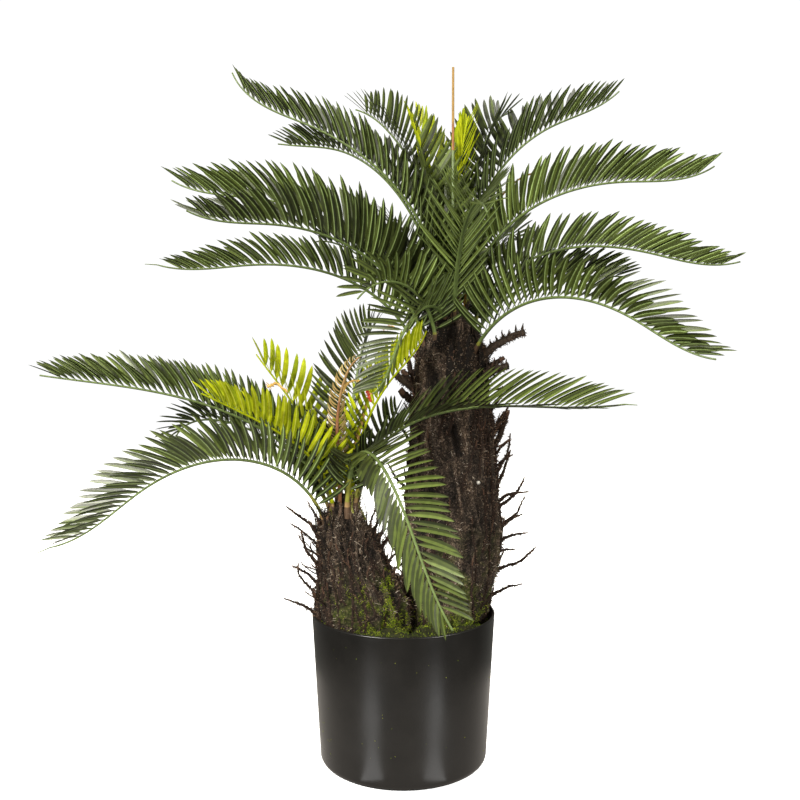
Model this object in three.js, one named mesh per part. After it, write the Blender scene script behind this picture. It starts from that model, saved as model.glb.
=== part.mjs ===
// An artificial sago palm with two heads, standing in a plain black pot.
// Millimetres, +Z up, +X to the right of the plant, -Y its front.
// The origin is the centre of the pot's flat underside.
import * as THREE from 'three';
import { mergeVertices } from 'three/addons/utils/BufferGeometryUtils.js';

const vec = (x, y, z) => new THREE.Vector3(x, y, z);
const rad = THREE.MathUtils.degToRad;

// ---------------------------------------------------------------- driving dimensions

const CLEAR = 0.35; // gap left between neighbouring pieces

const POT = { height: 145, rimRadius: 88, footRadius: 80, wall: 2.5, floor: 3, footRound: 7, sides: 48 };
const FILL = { top: 131, edgeDrop: 4, edgeWidth: 6, sides: 36 };

// Each trunk: `profile` rows are height, centre x, centre y and radius; above the last row
// the head closes in a dome. `barbs` are the old leaf bases that stand out of its fibre.
const TALL_TRUNK = {
  profile: [
    [131.4, 41, 12, 40],
    [146, 42, 12, 41],
    [185, 45, 12, 45],
    [221, 47, 12, 46],
    [270, 47, 12, 42],
    [319, 47, 12, 37],
    [365, 47, 12, 34],
    [390, 47, 12, 31],
  ],
  domeHeight: 54,
  sectors: 24,
  ringStep: 11,
  barbOut: 7,
  barbUp: 15,
};
const SHORT_TRUNK = {
  profile: [
    [131.4, -38, -15, 42],
    [157, -39, -15, 42],
    [180, -44, -15, 36],
    [202, -49, -15, 30],
    [222, -54, -15, 24],
    [232, -56, -15, 20],
  ],
  domeHeight: 30,
  sectors: 20,
  ringStep: 10,
  barbOut: 7,
  barbUp: 13,
};

// Every frond is one rib that springs from a head and carries two rows of leaflets.
//   heading  direction it leaves in, degrees from +X towards +Y
//   length   of the rib
//   rise     slope of the rib at its foot; fall is the slope it bends down to; ease says how soon
//   swing    change of heading along the rib; lift is the upward turn of its last part
//   low      how far under the top of the head it springs
//   leaf     length of its longest leaflets; roll turns the blade round the rib
// A rib that stands more than splitOver off its own chord is made in two pieces.
const FROND = {
  leaf: 55,
  roll: 0,
  stations: 21,
  stepsEach: 3,
  bareFoot: 0.07,
  liftFrom: 0.7,
  footWidth: 4.4,
  tipWidth: 1.6,
  footDepth: 3.2,
  tipDepth: 1.5,
  leafRise: 48,
  splitOver: 45,
  footSweep: 76,
  tipSweep: 30,
};
const TALL_FRONDS = [
  { heading: 168, length: 333, rise: 88, fall: 11, ease: 1.5, swing: 0, lift: 59, low: 9, leaf: 49 },
  { heading: 151, length: 308, rise: 84, fall: -45, ease: 0.6, swing: -11, lift: 49, low: 14, leaf: 50 },
  { heading: 189, length: 300, rise: 64, fall: -9, ease: 1.2, swing: -19, lift: 42, low: 24, leaf: 58 },
  { heading: 201, length: 284, rise: 78, fall: -12, ease: 1.6, swing: 18, lift: 36, low: 46, leaf: 58 },
  { heading: 173, length: 285, rise: 71, fall: -12, ease: 1.9, swing: 8, lift: 26, low: 54, leaf: 48 },
  { heading: 141, length: 184, rise: 60, fall: 18, ease: 1.1, swing: 9, lift: -24, low: 42, leaf: 52 },
  { heading: 243, length: 165, rise: 42, fall: -62, ease: 2.2, swing: -6, lift: 48, low: 20, leaf: 50 },
  { heading: 127, length: 264, rise: 88, fall: 33, ease: 1.3, swing: 7, lift: -16, low: 6, leaf: 58 },
  { heading: 271, length: 258, rise: 55, fall: -6, ease: 1.4, swing: 4, lift: -26, low: 18 },
  { heading: 40, length: 315, rise: 89, fall: -5, ease: 0.9, swing: -21, lift: 49, low: 8, leaf: 58 },
  { heading: 2, length: 300, rise: 87, fall: -12, ease: 1.6, swing: -8, lift: 49, low: 15, leaf: 58 },
  { heading: 10, length: 296, rise: 79, fall: -20, ease: 2.2, swing: -18, lift: 38, low: 30, leaf: 48 },
  { heading: -50, length: 269, rise: 54, fall: -43, ease: 1.5, swing: 12, lift: 39, low: 50, leaf: 56 },
  { heading: 27, length: 204, rise: 65, fall: 0, ease: 2.4, swing: -2, lift: 0, low: 38, leaf: 53 },
  { heading: 60, length: 238, rise: 87, fall: 45, ease: 0.8, swing: -11, lift: -38, low: 14, leaf: 53 },
  { heading: 58, length: 205, rise: 66, fall: -45, ease: 0.5, swing: 8, lift: -15, low: 28, leaf: 48 },
  { heading: 88, length: 285, rise: 74, fall: -12, ease: 1.1, swing: 6, lift: 20, low: 17 },
  { heading: 110, length: 285, rise: 60, fall: -16, ease: 1.0, swing: -6, lift: 25, low: 32 },
  { heading: 74, length: 275, rise: 52, fall: -14, ease: 1.0, swing: 5, lift: 15, low: 46 },
  { heading: 228, length: 140, rise: 80, fall: -30, ease: 1.3, swing: 6, lift: -10, low: 38, leaf: 44 },
];
const TALL_YOUNG = [
  { heading: 112, length: 224, rise: 88, fall: 61, ease: 1.7, swing: 10, lift: -16, low: 12, leaf: 48 },
  { heading: 78, length: 205, rise: 88, fall: 58, ease: 0.8, swing: -10, lift: -10, low: 7, leaf: 42 },
];
const SHORT_FRONDS = [
  { heading: 192, length: 305, rise: 65, fall: 6, ease: 2.2, swing: -9, lift: 3, low: 11, leaf: 56 },
  { heading: 163, length: 206, rise: 59, fall: -43, ease: 0.6, swing: -1, lift: -39, low: 17, leaf: 53 },
  { heading: 205, length: 283, rise: 72, fall: -51, ease: 1.6, swing: -3, lift: 41, low: 28, leaf: 58 },
  { heading: 74, length: 183, rise: 89, fall: 64, ease: 1.1, swing: -27, lift: -37, low: 8, leaf: 53 },
  { heading: -30, length: 308, rise: 88, fall: -1, ease: 2.9, swing: -7, lift: 11, low: 14, leaf: 57 },
  { heading: -75, length: 320, rise: 88, fall: -48, ease: 2.5, swing: 10, lift: 24, low: 17, leaf: 50 },
  { heading: 48, length: 120, rise: 75, fall: 35, ease: 1.2, swing: 0, lift: 0, low: 20, leaf: 38 },
  { heading: 100, length: 235, rise: 52, fall: -30, ease: 1.1, swing: 0, lift: 15, low: 18, leaf: 49 },
  { heading: 132, length: 240, rise: 58, fall: -24, ease: 1.0, swing: 0, lift: 15, low: 26, leaf: 49 },
];
const SHORT_YOUNG = [
  { heading: 217, length: 181, rise: 89, fall: 26, ease: 3.2, swing: -3, lift: 0, low: 15, leaf: 44 },
  { heading: 152, length: 162, rise: 72, fall: 46, ease: 1.4, swing: 12, lift: 7, low: 7, leaf: 52 },
  { heading: -28, length: 181, rise: 89, fall: 24, ease: 0.8, swing: 9, lift: 47, low: 8, leaf: 42 },
];

// Bare shoots: new fronds that haven't opened, with the same rib but no leaflets.
const TALL_SHOOTS = [
  { heading: 90, length: 222, rise: 89, fall: 88, ease: 1.0, swing: 0, lift: 3, low: 1, leaf: 0 },
  { heading: 46, length: 192, rise: 86, fall: 14, ease: 0.7, swing: -6, lift: -5, low: 21, leaf: 0 },
];
const SHORT_SHOOTS = [
  { heading: 240, length: 150, rise: 87, fall: 55, ease: 1.1, swing: 84, lift: -28, low: 6, leaf: 0 },
  { heading: 12, length: 112, rise: 89, fall: 66, ease: 1.0, swing: 0, lift: 0, low: 5, leaf: 0 },
];

// Dead leaf stubs near the top of the tall trunk, toothed along their upper edge.
const STUB = { footWidth: 9, tipWidth: 5, footDepth: 8, tipDepth: 6, stations: 9, firstTooth: 2, tooth: 8 };
const TALL_STUBS = [
  { heading: -24, length: 46, rise: 40, fall: 14, ease: 1.0, height: 391 },
  { heading: -38, length: 30, rise: 30, fall: 12, ease: 1.0, height: 371 },
  { heading: 188, length: 24, rise: 20, fall: 50, ease: 1.0, height: 360, tooth: 3 },
];

const COLOURS = {
  pot: { color: 0x1c1c1d, roughness: 0.42 },
  filling: { color: 0x2c3a12, roughness: 0.95 },
  trunk: { color: 0x2b211b, roughness: 0.95 },
  frond: { color: 0x3f5c2b, roughness: 0.6 },
  young: { color: 0xa6b81c, roughness: 0.55 },
  shoot: { color: 0xb9772f, roughness: 0.65 },
};

// ---------------------------------------------------------------- keeping pieces clear

// Leaflets, teeth and old leaf bases are only set where they stay clear of everything that is
// there already. What is there is held as thin triangles with a half thickness, in a coarse grid.
class Space {
  constructor(cell) {
    this.cell = cell;
    this.cells = new Map();
  }

  keys(blade) {
    const box = new THREE.Box3().setFromPoints(blade.corners).expandByScalar(blade.half + CLEAR);
    const low = box.min.divideScalar(this.cell).floor();
    const high = box.max.divideScalar(this.cell).floor();
    const keys = [];
    for (let i = low.x; i <= high.x; i++) {
      for (let j = low.y; j <= high.y; j++) {
        for (let k = low.z; k <= high.z; k++) keys.push(`${i},${j},${k}`);
      }
    }
    return keys;
  }

  add(blade) {
    for (const key of this.keys(blade)) {
      if (!this.cells.has(key)) this.cells.set(key, []);
      this.cells.get(key).push(blade);
    }
  }

  isClear(blade) {
    const near = new Set(this.keys(blade).flatMap((key) => this.cells.get(key) ?? []));
    for (const other of near) {
      if (other.owner === blade.owner) continue;
      if (triangleGap(blade.corners, other.corners) < blade.half + other.half + CLEAR) return false;
    }
    return true;
  }
}

function triangleGap(first, second) {
  if (pierces(first, second) || pierces(second, first)) return 0;
  let gap = Math.min(cornerGap(first, second), cornerGap(second, first));
  for (let i = 0; i < 3; i++) {
    const edge = new THREE.Line3(first[i], first[(i + 1) % 3]);
    for (let j = 0; j < 3; j++) {
      const other = new THREE.Line3(second[j], second[(j + 1) % 3]);
      gap = Math.min(gap, Math.sqrt(edge.distanceSqToLine3(other)));
    }
  }
  return gap;
}

function cornerGap(corners, triangle) {
  const face = new THREE.Triangle(...triangle);
  const nearest = vec(0, 0, 0);
  return Math.min(...corners.map((corner) => face.closestPointToPoint(corner, nearest).distanceTo(corner)));
}

function pierces(edges, triangle) {
  const hit = vec(0, 0, 0);
  for (let i = 0; i < 3; i++) {
    const start = edges[i];
    const along = edges[(i + 1) % 3].clone().sub(start);
    const length = along.length();
    const ray = new THREE.Ray(start, along.normalize());
    if (ray.intersectTriangle(...triangle, false, hit) && hit.distanceTo(start) <= length) return true;
  }
  return false;
}

const SPACE = new Space(22);

// Least gap between the faces of two skins.
function skinGap(first, second) {
  let least = Infinity;
  for (const one of first) {
    for (const other of second) {
      if (boxGap(one.box, other.box) >= least) continue;
      least = Math.min(least, triangleGap(one.corners, other.corners));
    }
  }
  return least;
}

function boxGap(first, second) {
  const apart = (axis) => Math.max(0, first.min[axis] - second.max[axis], second.min[axis] - first.max[axis]);
  return Math.hypot(apart('x'), apart('y'), apart('z'));
}

function facesOf(geometry) {
  const places = geometry.getAttribute('position');
  const order = geometry.index.array;
  return Array.from({ length: order.length / 3 }, (_, i) => {
    const corners = [0, 1, 2].map((k) => new THREE.Vector3().fromBufferAttribute(places, order[3 * i + k]));
    return { corners, box: new THREE.Box3().setFromPoints(corners) };
  });
}

// ---------------------------------------------------------------- skins

// A closed skin through rings of corners. Where tips holds a point for a side face, that face is
// drawn out to it as a barb: a leaflet, a tooth or an old leaf base.
function barbedSkin(rings, tips = new Map()) {
  const corners = rings[0].length;
  const points = rings.flat();
  const faces = [];
  for (let i = 0; i + 1 < rings.length; i++) {
    for (let j = 0; j < corners; j++) {
      const a = i * corners + j;
      const b = i * corners + ((j + 1) % corners);
      const [c, d] = [b + corners, a + corners];
      const tip = tips.get(`${i},${j}`);
      if (tip) {
        const t = points.push(tip) - 1;
        faces.push(a, b, t, b, c, t, c, d, t, d, a, t);
      } else {
        faces.push(a, b, c, a, c, d);
      }
    }
  }
  const last = (rings.length - 1) * corners;
  for (let j = 1; j + 1 < corners; j++) {
    faces.push(0, j + 1, j);
    faces.push(last, last + j, last + j + 1);
  }
  const geometry = new THREE.BufferGeometry().setFromPoints(points);
  geometry.setIndex(faces);
  return geometry;
}

const group = new THREE.Group();

function addPiece(name, geometry, finish) {
  if (!geometry.getAttribute('normal')) geometry.computeVertexNormals();
  const material = new THREE.MeshStandardMaterial({ metalness: 0, ...COLOURS[finish] });
  const mesh = new THREE.Mesh(geometry, material);
  mesh.name = name;
  group.add(mesh);
}

function turned(profile, sides) {
  const geometry = new THREE.LatheGeometry(profile.map(([r, z]) => new THREE.Vector2(r, z)), sides);
  geometry.rotateX(Math.PI / 2);
  geometry.deleteAttribute('normal');
  geometry.deleteAttribute('uv');
  return mergeVertices(geometry);
}

// ---------------------------------------------------------------- pot and filling

const outerRadius = (z) => POT.footRadius + ((POT.rimRadius - POT.footRadius) * z) / POT.height;
const innerRadius = (z) => outerRadius(z) - POT.wall;

function makePot() {
  const profile = [[0, 0]];
  const arcSteps = 3;
  for (let i = 0; i <= arcSteps; i++) {
    const turn = (i / arcSteps) * (Math.PI / 2);
    const z = POT.footRound * (1 - Math.cos(turn));
    profile.push([outerRadius(POT.footRound) - POT.footRound * (1 - Math.sin(turn)), z]);
  }
  profile.push([POT.rimRadius, POT.height]);
  profile.push([innerRadius(POT.height), POT.height]);
  profile.push([innerRadius(POT.footRound), POT.footRound]);
  profile.push([innerRadius(POT.footRound) - POT.footRound + POT.floor, POT.floor]);
  profile.push([0, POT.floor]);
  addPiece('pot', turned(profile, POT.sides), 'pot');
}

function makeFilling() {
  const bottom = POT.floor + CLEAR;
  const flange = POT.footRound + CLEAR;
  const edge = FILL.top - FILL.edgeDrop;
  const profile = [
    [0, bottom],
    [innerRadius(flange) - POT.footRound - CLEAR, bottom],
    [innerRadius(flange) - 2 * CLEAR, flange],
    [innerRadius(edge) - 2 * CLEAR, edge],
    [innerRadius(edge) - FILL.edgeWidth, FILL.top],
    [0, FILL.top],
  ];
  addPiece('moss_filling', turned(profile, FILL.sides), 'filling');
}

// ---------------------------------------------------------------- trunks

const DOME_POWER = 0.75; // how blunt the dome is: 1 would be a cone
const DOME_LEAN = 0.62; // rise over run of the way out of the dome's side
const SEATING = { stations: 5, passes: 6 }; // how much of a rib is fitted to its trunk, and how often

// Centre and radius of a trunk at a height, straight between its profile rows, then the dome.
function trunkAt(trunk, z) {
  const rows = trunk.profile;
  const top = rows[rows.length - 1];
  if (z >= top[0]) {
    const up = Math.min(1, (z - top[0]) / trunk.domeHeight);
    return { centre: vec(top[1], top[2], z), radius: top[3] * (1 - up) ** DOME_POWER };
  }
  const next = Math.max(1, rows.findIndex((row) => row[0] > z));
  const [below, above] = [rows[next - 1], rows[next]];
  const part = THREE.MathUtils.clamp((z - below[0]) / (above[0] - below[0]), 0, 1);
  const [x, y, radius] = [1, 2, 3].map((k) => THREE.MathUtils.lerp(below[k], above[k], part));
  return { centre: vec(x, y, z), radius };
}

const headTop = (trunk) => trunk.profile[trunk.profile.length - 1][0] + trunk.domeHeight;

function trunkRings(trunk) {
  const foot = trunk.profile[0][0];
  const shoulder = trunk.profile[trunk.profile.length - 1][0];
  const count = Math.round((shoulder - foot) / trunk.ringStep);
  const heights = Array.from({ length: count + 1 }, (_, i) => foot + ((shoulder - foot) * i) / count);
  for (const up of [0.45, 0.75, 0.93]) heights.push(shoulder + up * trunk.domeHeight);
  return heights.map((z) => {
    const { centre, radius } = trunkAt(trunk, z);
    return Array.from({ length: trunk.sectors }, (_, j) => {
      const turn = (j / trunk.sectors) * 2 * Math.PI;
      return vec(centre.x + radius * Math.cos(turn), centre.y + radius * Math.sin(turn), z);
    });
  });
}

// Puts every face of a skin into the space, so that nothing is grown into it later.
function occupy(geometry, owner) {
  for (const { corners } of facesOf(geometry)) SPACE.add({ corners, half: 0, owner });
}

// Old leaf bases stand out in a spiral and point up; one that would touch anything is left out.
function trunkBarbs(trunk, rings, owner) {
  const tips = new Map();
  const shoulder = trunk.profile[trunk.profile.length - 1][0];
  for (let i = 1; rings[i][0].z < shoulder - trunk.barbUp; i++) {
    const { centre } = trunkAt(trunk, rings[i][0].z);
    for (let j = (2 * i) % 3; j < trunk.sectors; j += 3) {
      const k = (j + 1) % trunk.sectors;
      const [a, b, c, d] = [rings[i][j], rings[i][k], rings[i + 1][k], rings[i + 1][j]];
      const middle = a.clone().add(b).add(c).add(d).divideScalar(4);
      const out = middle.clone().sub(centre).setZ(0).normalize();
      const tip = middle.clone().addScaledVector(out, trunk.barbOut).add(vec(0, 0, trunk.barbUp));
      const sides = [[a, b, tip], [b, c, tip], [c, d, tip], [d, a, tip]];
      const blades = sides.map((corners) => ({ corners, half: 0, owner }));
      if (!blades.every((blade) => SPACE.isClear(blade))) continue;
      blades.forEach((blade) => SPACE.add(blade));
      tips.set(`${i},${j}`, tip);
    }
  }
  return tips;
}

// ---------------------------------------------------------------- fronds

// The rib's line, worked out in short steps: at each point its place and its own three directions.
function ribLine(spec, start, steps) {
  const line = [];
  const place = start.clone();
  const { heading, rise, fall, ease, swing = 0, lift = 0, length, roll = 0 } = spec;
  for (let i = 0; i <= steps; i++) {
    const part = i / steps;
    const past = Math.max(0, (part - FROND.liftFrom) / (1 - FROND.liftFrom));
    const slope = rad(fall + (rise - fall) * (1 - part) ** ease + lift * past * past);
    const turn = rad(heading + swing * part);
    const along = vec(Math.cos(slope) * Math.cos(turn), Math.cos(slope) * Math.sin(turn), Math.sin(slope));
    const upper = vec(-Math.sin(slope) * Math.cos(turn), -Math.sin(slope) * Math.sin(turn), Math.cos(slope));
    const right = along.clone().cross(upper);
    upper.applyAxisAngle(along, rad(roll));
    right.applyAxisAngle(along, rad(roll));
    line.push({ place: place.clone(), along, upper, right, part });
    place.addScaledVector(along, length / steps);
  }
  return line;
}

// The stations and rings of a rib that springs from a trunk at a height. It starts well off the
// skin there and slides in until its foot is CLEAR of it.
function ribOnTrunk(trunk, height, spec, count, every) {
  const { centre, radius } = trunkAt(trunk, height);
  const onDome = height > trunk.profile[trunk.profile.length - 1][0];
  const turn = rad(spec.heading);
  const out = vec(Math.cos(turn), Math.sin(turn), onDome ? DOME_LEAN : 0).normalize();
  const start = vec(centre.x + radius * Math.cos(turn), centre.y + radius * Math.sin(turn), height)
    .addScaledVector(out, 2 * spec.footWidth);
  const stations = ribLine(spec, start, count * every).filter((_, i) => i % every === 0);
  const skin = facesOf(barbedSkin(trunkRings(trunk)));
  for (let pass = 0; pass < SEATING.passes; pass++) {
    const foot = barbedSkin(ribRings(stations.slice(0, SEATING.stations), spec));
    const shift = CLEAR - skinGap(facesOf(foot), skin);
    stations.forEach(({ place }) => place.addScaledVector(out, shift));
  }
  return { stations, rings: ribRings(stations, spec) };
}

// Rectangular rings along the rib: upper left, upper right, lower right, lower left.
function ribRings(stations, size) {
  return stations.map(({ place, upper, right, part }) => {
    const width = THREE.MathUtils.lerp(size.footWidth, size.tipWidth, part) / 2;
    const depth = THREE.MathUtils.lerp(size.footDepth, size.tipDepth, part) / 2;
    return [[-1, 1], [1, 1], [1, -1], [-1, -1]].map(([across, up]) =>
      place.clone().addScaledVector(right, across * width).addScaledVector(upper, up * depth));
  });
}

// Station where a rib stands furthest off its own chord, if that is far enough to split it there.
function bendStation(stations) {
  const chord = new THREE.Line3(stations[0].place, stations[stations.length - 1].place);
  const foot = vec(0, 0, 0);
  const offs = stations.map(({ place }) => chord.closestPointToPoint(place, true, foot).distanceTo(place));
  const most = Math.max(...offs);
  return most > FROND.splitOver ? offs.indexOf(most) : null;
}

const TOP_FACE = 0;
const RIGHT_FACE = 1;
const LEFT_FACE = 3;

// Share of the longest leaflet that a leaflet has, from the foot of the frond to its tip.
function leafShare(part) {
  const growing = Math.min(1, 0.62 + 2.2 * part);
  const fading = 1 - 0.75 * Math.max(0, (part - 0.48) / 0.52) ** 2.3;
  return growing * fading;
}

function leafTip(before, after, side, length, size) {
  const part = (before.part + after.part) / 2;
  const sweep = rad(THREE.MathUtils.lerp(size.footSweep, size.tipSweep, part));
  const rise = rad(size.leafRise);
  return before.place.clone().lerp(after.place, 0.5)
    .addScaledVector(before.right, side * length * Math.sin(sweep) * Math.cos(rise))
    .addScaledVector(before.upper, length * Math.sin(sweep) * Math.sin(rise))
    .addScaledVector(before.along, length * Math.cos(sweep));
}

function planFrond(name, trunk, row, finish) {
  const spec = { ...FROND, ...row };
  const height = headTop(trunk) - spec.low;
  const { stations, rings } = ribOnTrunk(trunk, height, spec, spec.stations, spec.stepsEach);
  occupy(barbedSkin(rings), name);
  return { name, spec, stations, rings, finish, tips: new Map(), bend: bendStation(stations) };
}

// One leaflet as long as fits: full length first, then shorter, then none.
function growLeaflet(frond, i, side) {
  const { name, spec, stations, rings, tips } = frond;
  const [before, after] = [stations[i], stations[i + 1]];
  const part = (before.part + after.part) / 2;
  if (!spec.leaf || part < spec.bareFoot) return;
  const face = side < 0 ? LEFT_FACE : RIGHT_FACE;
  const [upper, lower] = side < 0 ? [0, 3] : [1, 2];
  const near = rings[i][upper].clone().lerp(rings[i][lower], 0.5);
  const far = rings[i + 1][upper].clone().lerp(rings[i + 1][lower], 0.5);
  const half = rings[i][upper].distanceTo(rings[i][lower]) / 2;
  for (const share of [1, 0.8, 0.6, 0.42, 0.28]) {
    const tip = leafTip(before, after, side, spec.leaf * leafShare(part) * share, spec);
    const blade = { corners: [near, far, tip], half, owner: name };
    if (SPACE.isClear(blade)) {
      SPACE.add(blade);
      tips.set(`${i},${face}`, tip);
      return;
    }
  }
}

// A frond that bends round a wide gap is two pieces, an inner and an outer one, CLEAR apart.
function addFrond({ name, stations, rings, finish, tips, bend }) {
  if (bend === null) {
    addPiece(name, barbedSkin(rings, tips), finish);
    return;
  }
  const outerTips = new Map([...tips].map(([key, tip]) => {
    const [i, face] = key.split(',');
    return [`${i - bend},${face}`, tip];
  }));
  const start = rings[bend].map((corner) => corner.clone().addScaledVector(stations[bend].along, CLEAR));
  addPiece(name, barbedSkin(rings.slice(0, bend + 1), tips), finish);
  addPiece(`${name}_outer`, barbedSkin([start, ...rings.slice(bend + 1)], outerTips), finish);
}

function makeStub(name, trunk, row) {
  const spec = { ...STUB, ...row };
  const { stations, rings } = ribOnTrunk(trunk, spec.height, spec, spec.stations, 1);
  const tips = new Map();
  for (let i = spec.firstTooth; i < spec.stations; i += 2) {
    const middle = rings[i][0].clone().add(rings[i + 1][1]).divideScalar(2);
    tips.set(`${i},${TOP_FACE}`, middle.addScaledVector(stations[i].upper, spec.tooth));
  }
  const skin = barbedSkin(rings, tips);
  occupy(skin, name);
  addPiece(name, skin, 'trunk');
}

// ---------------------------------------------------------------- the plant

makePot();
makeFilling();

const trunks = [['tall_trunk', TALL_TRUNK], ['short_trunk', SHORT_TRUNK]]
  .map(([name, trunk]) => ({ name, trunk, rings: trunkRings(trunk) }));
trunks.forEach(({ name, rings }) => occupy(barbedSkin(rings), name));

const kinds = [
  ['tall_frond', TALL_TRUNK, TALL_FRONDS, 'frond'],
  ['tall_young_frond', TALL_TRUNK, TALL_YOUNG, 'young'],
  ['tall_shoot', TALL_TRUNK, TALL_SHOOTS, 'shoot'],
  ['short_frond', SHORT_TRUNK, SHORT_FRONDS, 'frond'],
  ['short_young_frond', SHORT_TRUNK, SHORT_YOUNG, 'young'],
  ['short_shoot', SHORT_TRUNK, SHORT_SHOOTS, 'shoot'],
];
const fronds = kinds.flatMap(([kind, trunk, rows, finish]) =>
  rows.map((row, i) => planFrond(`${kind}_${i + 1}`, trunk, row, finish)));

TALL_STUBS.forEach((row, i) => makeStub(`tall_stub_${i + 1}`, TALL_TRUNK, row));
for (const { name, trunk, rings } of trunks) {
  addPiece(name, barbedSkin(rings, trunkBarbs(trunk, rings, name)), 'trunk');
}

// The leaflets grow from the feet of all the fronds outwards, so the crowded middle is shared.
for (let i = 0; i < FROND.stations; i++) {
  for (const frond of fronds) [-1, 1].forEach((side) => growLeaflet(frond, i, side));
}
fronds.forEach(addFrond);

export default group;
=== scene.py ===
"""An artificial sago palm with two heads in a plain black pot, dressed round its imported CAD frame."""

import math

import bpy
import numpy as np
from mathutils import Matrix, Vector, noise


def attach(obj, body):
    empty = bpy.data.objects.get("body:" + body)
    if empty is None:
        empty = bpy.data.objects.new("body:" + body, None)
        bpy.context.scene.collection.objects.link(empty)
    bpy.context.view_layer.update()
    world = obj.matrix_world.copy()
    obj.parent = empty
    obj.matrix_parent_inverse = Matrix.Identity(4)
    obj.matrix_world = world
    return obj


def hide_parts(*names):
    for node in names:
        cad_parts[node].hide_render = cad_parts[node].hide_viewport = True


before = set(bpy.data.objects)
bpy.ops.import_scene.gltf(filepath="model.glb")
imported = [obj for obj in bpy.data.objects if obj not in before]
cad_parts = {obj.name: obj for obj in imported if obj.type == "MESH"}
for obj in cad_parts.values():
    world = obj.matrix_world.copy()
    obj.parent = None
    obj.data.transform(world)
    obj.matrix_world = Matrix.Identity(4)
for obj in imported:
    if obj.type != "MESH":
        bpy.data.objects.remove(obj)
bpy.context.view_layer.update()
MM = 0.001
TAU = 2 * math.pi
RNG = np.random.default_rng(31)

# ---- driving dimensions, in millimetres

POT = dict(height=145, rim_radius=88, foot_radius=80, wall=2.5, floor=3, foot_round=7)
FILL_TOP = 131
TALL = dict(
    profile=[
        (131.4, 41, 12, 40), (146, 42, 12, 41), (185, 45, 12, 45), (221, 47, 12, 46),
        (270, 47, 12, 42), (319, 47, 12, 37), (365, 47, 12, 34), (390, 47, 12, 31),
    ],
    dome=54,
)
SHORT = dict(
    profile=[
        (131.4, -38, -15, 42), (157, -39, -15, 42), (180, -44, -15, 36),
        (202, -49, -15, 30), (222, -54, -15, 24), (232, -56, -15, 20),
    ],
    dome=30,
)
DOME_POWER = 0.75
# The turn that faces the camera, in degrees.
FRONT = 270
FROND = dict(
    leaf=55, bare=0.07, lift_from=0.7, foot_width=4.4, tip_width=1.6, foot_depth=3.2, tip_depth=1.5,
    leaf_rise=48, foot_sweep=76, tip_sweep=30,
)
# A leaflet: spacing, width at its usual length, its fold as a share of half its width, half the width of its
# midrib and how high that stands, how deep its back is, and its twist in degrees.
LEAF = dict(pitch=6.7, width=5.7, usual=52, fold=0.10, ridge=0.42, crest=0.12, back=0.32, twist=9)
# How much leaflets differ from their neighbours, in degrees.
LEAF_SPREAD = dict(sweep=1.9, rise=3.5, curl=4, twist=6)
STUB = dict(foot_width=9, tip_width=5, foot_depth=8, tip_depth=6)


def row(heading, length, rise, fall, ease, swing, lift, low, leaf=FROND["leaf"], tone=0, wire=0,
        pitch=LEAF["pitch"], slim=1.0, bare=(FROND["bare"],) * 2, tuck=(1.0, 1.0),
        rises=(FROND["leaf_rise"],) * 2, inner=None, shade=0.0):
    """One rib, as in the part: heading, slopes and turns in degrees, lengths in mm, low under the head's top.
    tone shifts its greens lighter or darker, and up to the share shade of the rib they are a step darker,
    as painted shade.
    wire is the bare length past its tip, and pitch and slim are its leaflets' spacing and slimness. For its
    left and right row of leaflets bare is where they start, tuck lays them nearer to the rib, rises are
    their slopes, and inner those at the foot if they differ."""
    return dict(
        heading=heading, length=length, rise=rise, fall=fall, ease=ease, swing=swing, lift=lift,
        low=low, leaf=leaf, tone=tone, wire=wire, pitch=pitch, slim=slim, bare=bare, tuck=tuck, rises=rises,
        inner=inner or rises, shade=shade,
    )


def fine_row(*numbers, **more):
    """A rib of the short head, whose leaflets are narrower and closer."""
    return row(*numbers, **{"pitch": 6.0, "slim": 0.84, **more})


TALL_FRONDS = [
    row(168, 333, 88, 11, 1.5, 0, 59, 9, leaf=49, tone=-1),
    row(151, 308, 84, -45, 0.6, -11, 49, 14, leaf=50, tone=-1),
    row(189, 300, 64, -9, 1.2, -19, 42, 24, leaf=58, shade=0.5),
    row(201, 284, 78, -12, 1.6, 18, 36, 46, leaf=58, tone=-1, shade=0.45),
    row(173, 285, 71, -12, 1.9, 8, 26, 54, leaf=48, wire=18),
    row(141, 184, 60, 18, 1.1, 9, -24, 42, leaf=52, tone=-1),
    row(243, 165, 42, -62, 2.2, -6, 48, 20, leaf=46, pitch=4.8, slim=0.70),
    row(127, 264, 88, 33, 1.3, 7, -16, 6, leaf=55, pitch=6.4, slim=1.12, tuck=(1.0, 1.22), rises=(48, 72)),
    row(271, 258, 55, -6, 1.4, 4, -26, 18, tone=1),
    row(40, 315, 89, -5, 0.9, -21, 49, 8, leaf=54, tone=-1, tuck=(1.2, 1.2)),
    row(2, 300, 87, -12, 1.6, -8, 49, 15, leaf=58),
    row(10, 296, 79, -20, 2.2, -18, 38, 30, leaf=48),
    row(-50, 269, 54, -43, 1.5, 12, 39, 50, leaf=56),
    row(27, 204, 65, 0, 2.4, -2, 0, 38, leaf=53, tone=-1),
    row(60, 238, 87, 45, 0.8, -11, -38, 14, leaf=53, tone=-1),
    row(58, 205, 66, -45, 0.5, 8, -15, 28, leaf=48, tone=1),
    row(88, 285, 74, -12, 1.1, 6, 20, 17),
    row(110, 285, 60, -16, 1.0, -6, 25, 32),
    row(74, 275, 52, -14, 1.0, 5, 15, 46),
    row(228, 140, 80, -30, 1.3, 6, -10, 38, leaf=44),
]
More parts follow.
